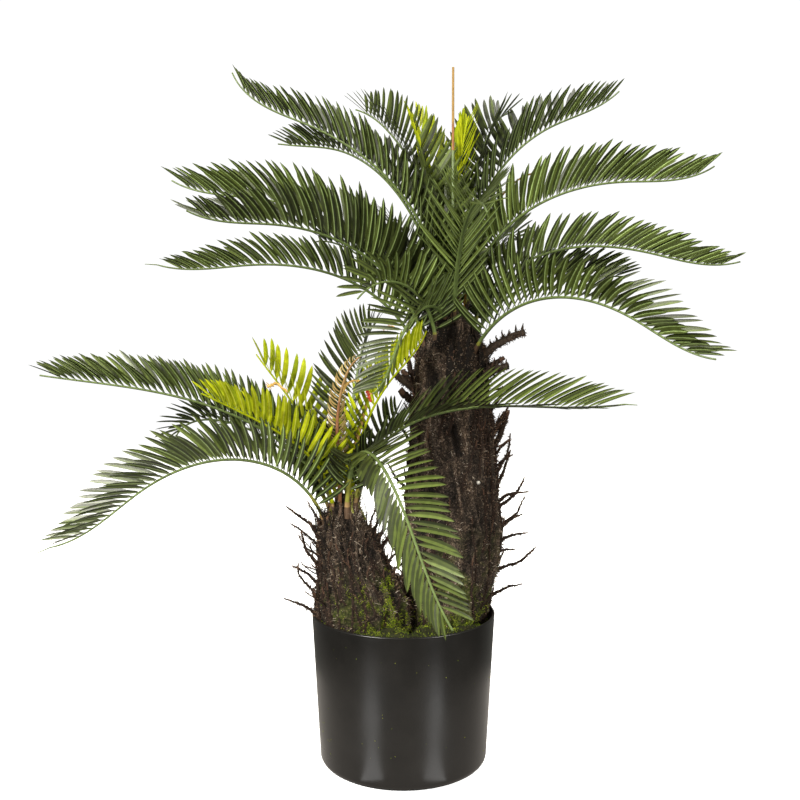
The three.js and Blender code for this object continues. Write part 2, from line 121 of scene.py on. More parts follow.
TALL_YOUNG = [
    row(112, 224, 88, 61, 1.7, 10, -16, 12, leaf=48, pitch=6.0, slim=0.8, tuck=(0.3, 0.6), rises=(20, 20)),
    row(78, 205, 88, 58, 0.8, -10, -10, 7, leaf=42, pitch=6.0, tuck=(0.3, 1.0)),
]
SHORT_FRONDS = [
    fine_row(192, 305, 65, 6, 2.2, -9, 3, 11, leaf=56),
    fine_row(163, 206, 59, -43, 0.6, -1, -39, 17, leaf=48, tone=-1),
    fine_row(205, 283, 72, -51, 1.6, -3, 41, 28, leaf=58, wire=16),
    fine_row(74, 183, 89, 64, 1.1, -27, -37, 8, leaf=53, tone=-1, pitch=4.6, slim=0.7),
    fine_row(
        -30, 308, 88, -1, 2.9, -7, 11, 14, leaf=59, wire=16, slim=0.9, tuck=(0.85, 0.6), rises=(50, 5),
        inner=(15, 0),
    ),
    fine_row(
        -75, 320, 88, -48, 2.5, 10, 24, 17, leaf=50, pitch=7.0, slim=0.92, tuck=(1.02, 0.5), rises=(46, -12),
        inner=(5, -12),
    ),
    fine_row(48, 120, 75, 35, 1.2, 0, 0, 20, leaf=38, tone=-1),
    fine_row(100, 235, 52, -30, 1.1, 0, 15, 18, leaf=49),
    fine_row(132, 240, 58, -24, 1.0, 0, 15, 26, leaf=49),
]
SHORT_YOUNG = [
    row(217, 181, 89, 26, 3.2, -3, 0, 15, leaf=44, pitch=6.6, bare=(0.16, 0.16)),
    row(152, 162, 72, 46, 1.4, 12, 7, 7, leaf=52, pitch=8.8, slim=1.12),
    row(
        -28, 181, 89, 24, 0.8, 9, 47, 8, leaf=42, pitch=6.4, bare=(0.16, 0.52), tuck=(1.0, 0.8),
        rises=(78, 48),
    ),
]
TALL_SHOOTS = [
    row(90, 222, 89, 88, 1.0, 0, 3, 1, leaf=0),
    row(46, 192, 86, 14, 0.7, -6, -5, 21, leaf=0),
]
SHORT_SHOOTS = [
    row(240, 150, 87, 55, 1.1, 84, -28, 6, leaf=0),
    row(12, 112, 89, 66, 1.0, 0, 0, 5, leaf=0),
]
TALL_STUBS = [
    dict(heading=-24, length=46, rise=40, fall=14, ease=1.0, height=391, teeth=7, tooth=6.0),
    dict(heading=-38, length=30, rise=30, fall=12, ease=1.0, height=371, teeth=6, tooth=4.5),
    dict(heading=188, length=24, rise=20, fall=50, ease=1.0, height=360, teeth=5, tooth=3.0),
]

# ---- materials


class Nodes:
    """A node tree whose nodes are added by short calls."""

    def __init__(self, tree):
        self.tree = tree

    def add(self, kind, **inputs):
        node = self.tree.nodes.new(f"ShaderNode{kind}")
        for socket, value in inputs.items():
            node.inputs[socket.replace("_", " ")].default_value = value
        return node

    def link(self, source, target):
        self.tree.links.new(source, target)

    def ramp(self, value, stops):
        node = self.add("ValToRGB")
        band = node.color_ramp
        while len(band.elements) < len(stops):
            band.elements.new(0.5)
        for element, (stop, colour) in zip(band.elements, stops):
            element.position = stop
            element.color = (*colour, 1)
        self.link(value, node.inputs["Fac"])
        return node.outputs["Color"]

    def mix(self, factor, first, second):
        """Blends two colours, each an output or a plain tuple."""
        node = self.add("Mix")
        node.data_type = "RGBA"
        self.link(factor, node.inputs["Factor"])
        for socket, value in zip(node.inputs[6:8], (first, second)):
            if isinstance(value, tuple):
                socket.default_value = (*value, 1)
            else:
                self.link(value, socket)
        return node.outputs[2]

    def band(self, value, low, high, to_low=0.0, to_high=1.0):
        node = self.add("MapRange", From_Min=low, From_Max=high, To_Min=to_low, To_Max=to_high)
        self.link(value, node.inputs["Value"])
        return node.outputs["Result"]

    def part_of(self, value, axis):
        """One coordinate of a place."""
        node = self.add("SeparateXYZ")
        self.link(value, node.inputs["Vector"])
        return node.outputs[axis]


class Shader(Nodes):
    """A Principled material."""

    def __init__(self, name, roughness, colour=(0.5, 0.5, 0.5), **sockets):
        self.material = bpy.data.materials.new(name)
        self.material.use_nodes = True
        super().__init__(self.material.node_tree)
        self.main = self.tree.nodes["Principled BSDF"]
        self.main.inputs["Base Color"].default_value = (*colour, 1)
        self.main.inputs["Roughness"].default_value = roughness
        for socket, value in sockets.items():
            self.main.inputs[socket.replace("_", " ")].default_value = value
        self.place = self.add("TexCoord").outputs["Object"]

    def noise(self, scale, detail=2.0, rough=0.5, stretch=None):
        node = self.add("TexNoise", Scale=scale, Detail=detail, Roughness=rough)
        place = self.place
        if stretch:
            mapping = self.add("Mapping", Scale=stretch)
            self.link(place, mapping.inputs["Vector"])
            place = mapping.outputs["Vector"]
        self.link(place, node.inputs["Vector"])
        return node.outputs["Fac"]

    def colour(self, source):
        self.link(source, self.main.inputs["Base Color"])

    def bump(self, value, distance, strength=1.0):
        node = self.add("Bump", Distance=distance, Strength=strength)
        self.link(value, node.inputs["Height"])
        self.link(node.outputs["Normal"], self.main.inputs["Normal"])


def shades(make, name, colours, *finish):
    """A numbered material for each colour."""
    return [make(f"{name}_{i + 1}", colour, *finish) for i, colour in enumerate(colours)]


def tint(colour, share):
    return tuple(share * value for value in colour)


def leaf_material(name, colour, roughness=0.36, shine=0.36):
    """Dyed plastic leaf: one base colour with a faint mottle and a fine grain."""
    shader = Shader(name, roughness, Specular_IOR_Level=shine)
    mottle = shader.noise(220, detail=3)
    shader.colour(shader.ramp(mottle, [(0.3, tint(colour, 0.78)), (0.7, tint(colour, 1.18))]))
    shader.bump(shader.noise(1400, detail=1), 0.0002, 0.35)
    return shader.material


def olive(depth, red=0.75, blue=0.20):
    """A green of that depth, with its shares of red and blue."""
    return (red * depth, depth, blue * depth)


GREENS = shades(leaf_material, "leaf_green", map(olive, (0.014, 0.029, 0.051, 0.081, 0.115, 0.155, 0.21)))
# Midribs are paler than their leaflets, partly their own colour and partly a painted highlight.
MIDRIBS = shades(
    leaf_material, "midrib_green", [olive(depth, 0.74, 0.34) for depth in (0.14, 0.24, 0.38)], 0.33, 0.5,
)
LIMES = shades(
    leaf_material, "leaf_lime", [(0.17, 0.21, 0.003), (0.25, 0.285, 0.004), (0.32, 0.35, 0.008)], 0.45, 0.14,
)
LIME_MIDRIB = leaf_material("midrib_lime", (0.36, 0.38, 0.03), 0.36)
CREAMS = shades(leaf_material, "leaf_cream", [(0.30, 0.20, 0.075), (0.42, 0.32, 0.14), (0.24, 0.17, 0.06)])
RIB_GREEN, RIB_OLIVE, RIB_TAN, RIB_BROWN = [
    leaf_material(f"rib_{name}", colour, roughness)
    for name, colour, roughness in (
        ("green", (0.090, 0.125, 0.036), 0.42), ("olive", (0.17, 0.17, 0.026), 0.5),
        ("tan", (0.20, 0.125, 0.050), 0.6), ("brown", (0.060, 0.034, 0.018), 0.7),
    )
]
SHOOT_ORANGE, SHOOT_RUST, SHOOT_RED, SHOOT_GOLD, SHOOT_PEACH, SHOOT_BEIGE, SHOOT_BROWN = [
    leaf_material(f"shoot_{name}", colour, 0.5)
    for name, colour in (
        ("orange", (0.23, 0.13, 0.024)), ("rust", (0.20, 0.078, 0.018)), ("red", (0.26, 0.030, 0.010)),
        ("gold", (0.45, 0.28, 0.075)), ("peach", (0.34, 0.20, 0.060)), ("beige", (0.27, 0.165, 0.068)),
        ("brown", (0.22, 0.10, 0.045)),
    )
]

# The fine noise of coir and moss in it, as stops of a ramp: dark matting, brown matting and moss.
COIR_DARK = [(0.38, (0.004, 0.003, 0.0025)), (0.54, (0.020, 0.0145, 0.0105)), (0.72, (0.13, 0.10, 0.075))]
COIR_BROWN = [(0.36, (0.008, 0.0055, 0.004)), (0.54, (0.046, 0.031, 0.021)), (0.72, (0.24, 0.18, 0.13))]
COIR_MOSS = [(0.35, (0.010, 0.014, 0.003)), (0.55, (0.050, 0.064, 0.008)), (0.72, (0.17, 0.20, 0.022))]


def coir_material(name, share, moss_line):
    """Matted dark fibre: near black with brown specks, and green low down where moss has got in.
    share scales its colour, darker for the hollows and lighter where it stands proud, as painted shade
    and light, and moss_line is the heights where moss is thick and ends."""
    shader = Shader(name, 0.92, Specular_IOR_Level=0.25)
    fine = shader.noise(620, detail=6, rough=0.75)
    streak = shader.noise(110, detail=5, rough=0.65, stretch=(1, 1, 0.4))
    dark, brown = [
        shader.ramp(fine, [(stop, tint(colour, share)) for stop, colour in stops])
        for stops in (COIR_DARK, COIR_BROWN)
    ]
    body = shader.mix(shader.band(streak, 0.45, 0.66), dark, brown)
    low, high = moss_line
    depth = shader.band(shader.part_of(shader.place, "Z"), high * MM, low * MM)
    patch = shader.band(shader.noise(60, detail=4), 0.44, 0.60)
    both = shader.add("Math")
    both.operation = "MULTIPLY"
    shader.link(depth, both.inputs[0])
    shader.link(patch, both.inputs[1])
    shader.colour(shader.mix(both.outputs[0], body, shader.ramp(fine, COIR_MOSS)))
    shader.bump(fine, 0.0016, 1.0)
    return shader.material


# The coir's three copies, from the hollows to where it stands proud: painted shade, middle and painted light.
COIR_PAINTED_LIGHT_SHARES = (0.26, 0.76, 1.8)
TALL_COIRS = shades(coir_material, "coir_tall", [1.35 * share for share in COIR_PAINTED_LIGHT_SHARES], (130, 235))
SHORT_COIRS = shades(coir_material, "coir_short", COIR_PAINTED_LIGHT_SHARES, (130, 205))


def hair_material(name, colour):
    """Dull fibre: one base colour, darker and lighter by a fine mottle."""
    shader = Shader(name, 0.85, Specular_IOR_Level=0.2)
    mottle = shader.noise(400, detail=2)
    shader.colour(shader.ramp(mottle, [(0.3, tint(colour, 0.6)), (0.7, tint(colour, 1.35))]))
    return shader.material


HAIRS = shades(
    hair_material, "coir_hair",
    [(0.011, 0.0080, 0.0058), (0.042, 0.029, 0.0205), (0.13, 0.094, 0.066), (0.44, 0.37, 0.29)],
)
WHISKERS = shades(
    hair_material, "whisker", [(0.016, 0.0095, 0.0065), (0.050, 0.027, 0.017), (0.16, 0.105, 0.07)],
)
SHEATHS = shades(
    hair_material, "sheath",
    [(0.006, 0.0045, 0.0035), (0.022, 0.015, 0.011), (0.060, 0.038, 0.022), (0.17, 0.13, 0.095)],
)
DEAD_STUB = hair_material("dead_stub", (0.030, 0.021, 0.015))
MOSSES = shades(hair_material, "moss", [
    (0.19, 0.245, 0.011), (0.115, 0.16, 0.010), (0.055, 0.075, 0.008), (0.040, 0.034, 0.012),
    (0.26, 0.29, 0.03),
])
SOIL = hair_material("moss_bed", (0.018, 0.020, 0.006))


def pot_material():
    """Black moulded plastic, semi-gloss, with faint scuffs and a soft waviness."""
    shader = Shader("pot_black", 0.32, Specular_IOR_Level=0.42)
    scuff = shader.noise(34, detail=5, rough=0.6)
    shader.colour(shader.ramp(scuff, [(0.3, (0.0058, 0.0055, 0.0051)), (0.7, (0.0092, 0.0085, 0.0078))]))
    gloss = shader.band(shader.noise(18, detail=4), 0.3, 0.7, 0.26, 0.38)
    shader.link(gloss, shader.main.inputs["Roughness"])
    shader.bump(shader.noise(260, detail=2), 0.0002, 0.12)
    return shader.material


POT_BLACK = pot_material()
PEBBLE = hair_material("pebble", (0.42, 0.40, 0.36))

# ---- mesh building


def unit(v):
    return v / np.maximum(np.linalg.norm(v, axis=-1, keepdims=True), 1e-12)


def turns_round(sides):
    """Equal turns round a circle, in radians."""
    return np.arange(sides) * TAU / sides


def any_turn(size=None):
    """Seeded random turns, in radians."""
    return RNG.uniform(0, TAU, size)


def on_circle(radius, turn, z):
    """Places at a distance and a turn from the middle, at height z."""
    return np.stack(np.broadcast_arrays(radius * np.cos(turn), radius * np.sin(turn), z), -1)


def along_line(where, knots, points):
    """Places, or directions, at where on a line that has points at its knots."""
    return np.stack([np.interp(where, knots, points[:, k]) for k in range(3)], -1)


def noise_at(*coordinates):
    """Smooth noise at places given by their three coordinates, each a grid or a plain number."""
    grids = np.broadcast_arrays(*coordinates)
    values = [noise.noise(Vector(place)) for place in zip(*(grid.ravel() for grid in grids))]
    return np.reshape(values, grids[0].shape)


class Piece:
    """Collects closed bodies as arrays of points and faces, then makes one object of them."""

    def __init__(self):
        self.points, self.loops, self.sizes, self.slots = [], [], [], []
        self.count = 0

    def add(self, points, faces, slots):
        """faces is a list of equal-sized index arrays with the matching list of material slots."""
        self.points.append(points.reshape(-1, 3))
        for index, slot in zip(faces, slots):
            index = np.asarray(index)
            self.loops.append((index + self.count).ravel())
            self.sizes.append(np.full(len(index), index.shape[1]))
            self.slots.append(np.broadcast_to(slot, len(index)))
        self.count += len(self.points[-1])

    def build(self, name, materials, slot, replaces=(), angle=50):
        mesh = bpy.data.meshes.new(name)
        points = np.concatenate(self.points)
        loops = np.concatenate(self.loops)
        sizes = np.concatenate(self.sizes)
        mesh.vertices.add(len(points))
        mesh.vertices.foreach_set("co", points.astype(np.float32).ravel())
        mesh.loops.add(len(loops))
        mesh.loops.foreach_set("vertex_index", loops.astype(np.int32))
        mesh.polygons.add(len(sizes))
        mesh.polygons.foreach_set("loop_start", np.concatenate([[0], np.cumsum(sizes)[:-1]]).astype(np.int32))
        mesh.polygons.foreach_set("material_index", np.concatenate(self.slots).astype(np.int32))
        for material in materials:
            mesh.materials.append(material)
        mesh.update(calc_edges=True)
        mesh.polygons.foreach_set("use_smooth", np.ones(len(sizes), bool))
        mesh.set_sharp_from_angle(angle=math.radians(angle))
        piece = bpy.data.objects.new(name, mesh)
        bpy.context.scene.collection.objects.link(piece)
        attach(piece, "root")
        if replaces:
            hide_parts(*replaces)
        return piece


def repeated(faces, bodies, each):
    """Faces of one body, repeated for bodies that have each points."""
    base = (np.arange(bodies) * each)[:, None, None]
    return [(face[None] + base).reshape(-1, face.shape[1]) for face in faces]


def ring_quads(rings, sides):
    """Quads between rings of sides points, outside outwards."""
    i, j = np.meshgrid(np.arange(rings - 1), np.arange(sides), indexing="ij")
    a = i * sides + j
    b = i * sides + (j + 1) % sides
    return np.stack([a, b, b + sides, a + sides], -1).reshape(-1, 4)


def tube_faces(rings, sides, bodies=1):
    """Side quads and two end caps for bodies tubes of rings x sides points each."""
    foot = np.arange(sides)[::-1][None]
    tip = (rings - 1) * sides + np.arange(sides)[None]
    return repeated((ring_quads(rings, sides), foot, tip), bodies, rings * sides)


def tube(piece, line, across, up, width, depth, sides, slots, rough=0.0):
    """A closed tube along line. across and up are unit vectors, width and depth full sizes at each ring."""
    turn = turns_round(sides)
    w = (np.asarray(width) / 2)[:, None, None] * np.cos(turn)[None, :, None]
    d = (np.asarray(depth) / 2)[:, None, None] * np.sin(turn)[None, :, None]
    if rough:
        wobble = 1 + rough * RNG.uniform(-1, 1, (len(line), sides, 1))
        w, d = w * wobble, d * wobble
    points = line[:, None] + across[:, None] * w + up[:, None] * d
    slots = np.repeat(np.broadcast_to(slots, len(line) - 1), sides)
    piece.add(points, tube_faces(len(line), sides), [slots, slots[0], slots[-1]])


def frame_along(line):
    """Unit directions along a line, and two unit vectors square to it, kept from turning."""
    along = unit(np.gradient(line, axis=0))
    across = np.zeros_like(along)
    side = np.cross(along[0], (0.31, 0.87, 0.42))
    for k, direction in enumerate(along):
        side = side - direction * side.dot(direction)
        side = side / np.linalg.norm(side)
        across[k] = side
    return along, across, np.cross(along, across)


# ---- ribs, by the part's rule


def head_top(trunk):
    return trunk["profile"][-1][0] + trunk["dome"]


def ends(trunk):
    """Heights of a trunk's foot and of its shoulder, where its dome starts."""
    return trunk["profile"][0][0], trunk["profile"][-1][0]


def trunk_at(trunk, z):
    """Centre and radius of a trunk at heights z, in mm."""
    heights, x, y, radii = np.array(trunk["profile"], float).T
    z = np.asarray(z, float)
    centre = np.stack([np.interp(z, heights, x), np.interp(z, heights, y), z], -1)
    up = np.clip((z - heights[-1]) / trunk["dome"], 0, 1)
    radius = np.where(z < heights[-1], np.interp(z, heights, radii), radii[-1] * (1 - up) ** DOME_POWER)
    return centre, radius


def rib_line(spec, start, steps):
    """Places, directions along, upper and right at each step of a rib, in mm."""
    part = np.arange(steps + 1) / steps
    past = np.maximum(0, (part - FROND["lift_from"]) / (1 - FROND["lift_from"]))
    slope = spec["fall"] + (spec["rise"] - spec["fall"]) * (1 - part) ** spec["ease"]
    slope = np.radians(slope + spec.get("lift", 0) * past**2)
    turn = np.radians(spec["heading"] + spec.get("swing", 0) * part)
    along = np.stack([np.cos(slope) * np.cos(turn), np.cos(slope) * np.sin(turn), np.sin(slope)], -1)
    upper = np.stack([-np.sin(slope) * np.cos(turn), -np.sin(slope) * np.sin(turn), np.cos(slope)], -1)
    right = np.cross(along, upper)
    run = np.vstack([np.zeros(3), np.cumsum(along[:-1], 0)]) * spec["length"] / steps
    return dict(part=part, place=start + run, along=along, upper=upper, right=right)


def rib_of(node, trunk, spec, steps=63):
    """The line of a CAD node's rib, from the centre of its foot: the four corners of the node that are
    nearest to where it springs from the trunk."""
    height = spec.get("height", head_top(trunk) - spec.get("low", 0))
    centre, radius = trunk_at(trunk, height)
    turn = math.radians(spec["heading"])
    guess = centre + (radius + 1.5) * np.array([math.cos(turn), math.sin(turn), 0])
    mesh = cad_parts[node].data
    corners = np.zeros(len(mesh.vertices) * 3, np.float32)
    mesh.vertices.foreach_get("co", corners)
    corners = np.unique(corners.reshape(-1, 3).astype(float).round(6), axis=0) / MM
    order = np.argsort(np.linalg.norm(corners - guess, axis=1))
    return rib_line(spec, corners[order[:4]].mean(0), steps)


def at(line, key, parts):
    return along_line(parts, line["part"], line[key])


def rooted(line, depth):
    """A rib's places, directions across and up, and shares of its length, from depth mm inside its trunk."""
    place = np.vstack([line["place"][0] - line["along"][0] * depth, line["place"]])
    across = np.vstack([line["right"][:1], line["right"]])
    up = np.vstack([line["upper"][:1], line["upper"]])
    return place, across, up, np.concatenate([[0], line["part"]])


def tapered(sizes, key, part):
    """A size at shares of a length, straight from its value at the foot to that at the tip."""
    return sizes[f"foot_{key}"] + (sizes[f"tip_{key}"] - sizes[f"foot_{key}"]) * part


def add_rib(piece, spec, line, breaks):
    """The rib itself: a tube that widens at its foot and runs on into the trunk. breaks are the shares
    of its length where it changes to the next material."""
    place, across, up, part = rooted(line, 6)
    width, depth = tapered(FROND, "width", part), tapered(FROND, "depth", part)
    flare = 1 + 0.4 * np.clip(1 - part / 0.05, 0, 1) ** 1.5
    if spec["wire"]:
        reach = np.array([0.35, 1.0])[:, None] * spec["wire"]
        bend = np.array([0.0, -0.12])[:, None] * spec["wire"] * line["upper"][-1]
        place = np.vstack([place, place[-1] + reach * line["along"][-1] + bend])
        across = np.vstack([across, across[-1:], across[-1:]])
        up = np.vstack([up, up[-1:], up[-1:]])
        width, depth = [np.concatenate([size, [1.1, 0.6]]) for size in (width, depth)]
        flare = np.concatenate([flare, [1, 1]])
    middle = np.concatenate([part, np.ones(len(place) - len(part))])
    middle = (middle[:-1] + middle[1:]) / 2
    slots = np.searchsorted(breaks, middle)
    tube(piece, place * MM, across, up, width * flare * MM, depth * flare * MM, sides=8, slots=slots)


# ---- leaflets

# Places along a leaflet, as shares of its length, and its width there as a share of the widest.
LEAF_STEPS = np.array([0, 0.04, 0.12, 0.26, 0.42, 0.60, 0.77, 0.90])
LEAF_SHAPE = np.array([0.20, 0.20, 0.70, 0.95, 1.0, 0.97, 0.84, 0.54])
# From this share of a rib on, its leaflets get narrower and lie nearer to it.
TIP_ZONE = 0.82


def leaf_share(part):
    """Share of the longest leaflet that a leaflet has, from the foot of the frond to its tip."""
    return np.minimum(1, 0.62 + 2.2 * part) * (1 - 0.55 * np.maximum(0, (part - 0.48) / 0.52) ** 2.3)


def add_leaflets(piece, spec, line, tones, dress, curl=16.0, until=0.95):
    """Two rows of narrow leaflets along a rib, which lean forwards past its tip. Each is a closed blade
    with a raised midrib, folded a little along it, on a short stalk. tones is how a leaflet's material
    slot is drawn, and dress gives for each slot those of its midrib and of its darker half, whose
    darker green is painted shade."""
    for side in (-1, 1):
        tuck, bare, outer, inner = [spec[key][side > 0] for key in ("tuck", "bare", "rises", "inner")]
        number = int(spec["length"] * (until - bare) / spec["pitch"])
        parts = bare + (until - bare) * (np.arange(number) + (0.3 if side > 0 else 0.0)) / number
        near_tip = np.clip((parts - TIP_ZONE) / (1 - TIP_ZONE), 0, 1)
        along, upper, right = [unit(at(line, key, parts)) for key in ("along", "upper", "right")]
        long = spec["leaf"] * leaf_share(parts) * RNG.uniform(0.92, 1.0, number)
        sweep = np.radians(tapered(FROND, "sweep", parts)) * (1 - 0.15 * near_tip) * tuck
        sweep = sweep + np.radians(RNG.normal(0, LEAF_SPREAD["sweep"], number))
        slope = np.interp(parts, (0, 0.4), (inner, outer)) * (1 - 0.4 * near_tip)
        rise = np.radians(slope + RNG.normal(0, LEAF_SPREAD["rise"], number))
        bend = np.radians(curl + RNG.normal(0, LEAF_SPREAD["curl"], number))

        # The line of each leaflet, which curls forwards.
        off_axis = 0.42 * tapered(FROND, "width", parts)
        spots, ways = [at(line, "place", parts) + right * side * off_axis[:, None] + upper * 0.3], []
        steps = np.append(LEAF_STEPS, 1.0)
        for k, step in enumerate(steps):
            angle = sweep + bend * (0.5 - step)
            ways.append(
                right * (side * np.sin(angle) * np.cos(rise))[:, None]
                + upper * (np.sin(angle) * np.sin(rise))[:, None]
                + along * np.cos(angle)[:, None]
            )
            if k + 1 < len(steps):
                spots.append(spots[-1] + ways[-1] * (long * (steps[k + 1] - step))[:, None])
        spots, ways = np.stack(spots, 1), unit(np.stack(ways, 1))

        # Its section: two edges, two lines that bound the midrib, and the back.
        across = unit(along[:, None] - ways * (along[:, None] * ways).sum(-1, keepdims=True))
        face = np.cross(across, ways) * side
        twist = np.radians(RNG.normal(LEAF["twist"], LEAF_SPREAD["twist"], number))[:, None, None] * side
        cos, sin = np.cos(twist), np.sin(twist)
        across, face = across * cos + face * sin, face * cos - across * sin
        half = 0.5 * LEAF["width"] * spec["slim"] * (long / LEAF["usual"]) ** 0.5 * (1 - 0.2 * near_tip)
        half = ((half * RNG.uniform(0.9, 1.08, number))[:, None] * LEAF_SHAPE[None])[..., None]
        fold = LEAF["fold"] * half
        ridge = np.minimum(LEAF["ridge"], 0.3 * half)
        body, turn, lift = spots[:, :-1], across[:, :-1], face[:, :-1]
        ring = np.stack([
            body - turn * half - lift * fold,
            body - turn * ridge + lift * LEAF["crest"],
            body + turn * ridge + lift * LEAF["crest"],
            body + turn * half - lift * fold,
            body - lift * (LEAF["back"] + 0.4 * fold),
        ], 2)
        points = np.concatenate([ring.reshape(number, -1, 3), spots[:, -1:]], 1)
        add_blades(piece, points * MM, ring.shape[1], side, tones(parts), dress)


def add_blades(piece, points, rings, side, slots, dress):
    """Faces for blades of rings rings of five points and one tip point."""
    midribs, painted_shade_slots = dress
    number, each = points.shape[:2]
    last = (rings - 1) * 5 + np.arange(5)
    tips = np.stack([last, np.roll(last, -1), np.full(5, each - 1)], -1)
    faces = [ring_quads(rings, 5), tips, np.arange(5)[::-1][None]]
    if side > 0:
        faces = [face[:, ::-1] for face in faces]
    slots = np.asarray(slots)
    # One half of each blade, on its top and its back, takes a darker slot: painted shade.
    by_span = np.stack([painted_shade_slots[slots], midribs[slots], slots, slots, painted_shade_slots[slots]], 1)
    quad_slots = by_span[:, np.tile(np.arange(5), rings - 1)].ravel()
    piece.add(points, repeated(faces, number, each), [quad_slots, by_span.ravel(), slots])


def make_fronds(prefix, trunk, rows, breaks, rib_materials, leaf_materials, tones, dress):
    """The fronds of one kind on one head: a piece of leaflets, which replaces their nodes, and one of
    ribs. A long frond is split at the bend into two nodes."""
    young = "young_" if "young" in prefix else ""
    leaves, ribs, replaced = Piece(), Piece(), []
    for i, spec in enumerate(rows):
        name = f"{prefix}_frond_{i + 1}"
        line = rib_of(name, trunk, spec)
        add_rib(ribs, spec, line, breaks)
        add_leaflets(leaves, spec, line, tones(spec), dress)
        replaced += [node for node in (name, f"{name}_outer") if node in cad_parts]
    leaves.build(f"{prefix}_leaflets", leaf_materials, f"{young}frond", replaced, angle=60)
    ribs.build(f"{prefix}_ribs", rib_materials, f"{young}frond")


def green_tones(spec):
    """Draws a leaflet's green: darker near the trunk and up to the share shade of its rib, both
    painted shade, and now and then a step off its frond's own.
    """
    def draw(parts):
        inner = np.round(1.1 * np.clip(1 - parts / 0.34, 0, 1)).astype(int) + (parts < spec["shade"])
        stray = RNG.choice([-1, 0, 0, 0, 0, 1], len(parts))
        return np.clip(3 + spec["tone"] - inner + stray, 0, len(GREENS) - 1)
    return draw


def make_crown(prefix, trunk, rows, breaks):
    """The dark green fronds. The slots of their leaflets are the greens, then the three midribs. Each
    leaflet's darker half takes the green two steps darker, as painted shade.
    """
    order = np.arange(len(GREENS))
    make_fronds(
        prefix, trunk, rows, breaks, [RIB_BROWN, RIB_TAN, RIB_OLIVE, RIB_GREEN], GREENS + MIDRIBS,
        green_tones, (len(GREENS) + np.minimum(2, order // 2), np.maximum(0, order - 2)),
    )


def make_young(prefix, trunk, rows, green_until):
    """Young fronds: lime, but green like the rest up to the share green_until of their ribs."""
    def draw(parts):
        lime = parts + RNG.normal(0, 0.05, len(parts)) > green_until
        return np.where(lime, RNG.choice([0, 1, 1, 2, 2], len(parts)), 3 + RNG.choice(3, len(parts)))

    make_fronds(
        prefix, trunk, rows, (0.012, 0.035, max(0.036, green_until)),
        [RIB_BROWN, RIB_TAN, RIB_GREEN, LIMES[1]],
        LIMES + GREENS[2:5] + [LIME_MIDRIB, MIDRIBS[1]], lambda spec: draw,
        # Each slot's midrib, then the slot of its leaflet's darker half, which is painted shade.
        (np.array([6, 6, 6, 7, 7, 7]), np.array([0, 0, 1, 3, 3, 4])),
    )


# A rib turns from brown through tan and olive to green; on the tall trunk its foot is dark.
make_crown("tall", TALL, TALL_FRONDS, (0.03, 0.036, 0.055))
make_crown("short", SHORT, SHORT_FRONDS, (0.012, 0.035, 0.11))
make_young("tall_young", TALL, TALL_YOUNG, 0.58)
make_young("short_young", SHORT, SHORT_YOUNG, 0.0)

# ---- trunks


def surface_point(trunk, turn, z, off=0.0):
    """Points on a trunk's plain skin, off mm proud of it."""
    centre, radius = trunk_at(trunk, z)
    out = np.stack([np.cos(turn), np.sin(turn), np.zeros_like(turn)], -1)
    return centre + out * (radius + off)[..., None], out


def sideways(out):
    """Level directions square to directions out."""
    return np.stack([-out[..., 1], out[..., 0], np.zeros_like(out[..., 0])], -1)


def make_ridges(trunk, broad, narrow, hollows):
    """Old leaf bases that lie against the trunk, broad slats and narrow stalks, and the hollows between
    them: each a start height, a turn, a length and a lean."""
    foot, shoulder = ends(trunk)
    kinds = (
        (broad, (45, 110), (1.6, 3.4), (4.2, 6.8)),
        (narrow, (30, 85), (1.4, 3.6), (1.3, 2.4)),
        (hollows, (30, 80), (-4.2, -2.0), (2.6, 5.0)),
    )
    return [
        dict(
            z=RNG.uniform(foot - 20, shoulder - 4), turn=any_turn(), length=RNG.uniform(*length),
            lean=RNG.normal(0, 0.14), wave=RNG.uniform(0.5, 2.2), high=RNG.uniform(*high),
            wide=RNG.uniform(*wide),
        )
        for count, length, high, wide in kinds for _ in range(count)
    ]


def ridge_turn(ridge, trunk, z):
    """Turn of a ridge's line at heights z."""
    up = (z - ridge["z"]) / ridge["length"]
    _, radius = trunk_at(trunk, z)
    return ridge["turn"] + (ridge["lean"] * (z - ridge["z"]) + ridge["wave"] * np.sin(up * 7)) / radius


# Lumps of the matting: their size along x, y and z, and their height, in mm.
LUMPS = [((14, 14, 42), 1.6), ((3.4, 3.4, 5.0), 1.5), ((1.5, 1.5, 1.6), 1.1)]


def relief(trunk, turn, z):
    """How far the matted skin stands off the plain one, in mm, for grids of turn and height."""
    _, radius = trunk_at(trunk, z)
    proud, sunk = np.zeros_like(z), np.zeros_like(z)
    for ridge in trunk["ridges"]:
        up = (z - ridge["z"]) / ridge["length"]
        inside = np.clip(np.minimum(up * 3, (1 - up) * 8), 0, 1)
        gap = (turn - ridge_turn(ridge, trunk, z) + math.pi) % TAU - math.pi
        height = ridge["high"] * inside * np.exp(-((gap * radius / ridge["wide"]) ** 4))
        proud, sunk = np.maximum(proud, height), np.minimum(sunk, height)
    points, _ = surface_point(trunk, turn, z)
    lumps = sum(high * noise_at(*np.moveaxis(points / size, -1, 0)) for size, high in LUMPS)
    fade = np.clip((head_top(trunk) - z) / 20, 0.15, 1)
    return (proud + sunk + lumps) * fade - 0.4


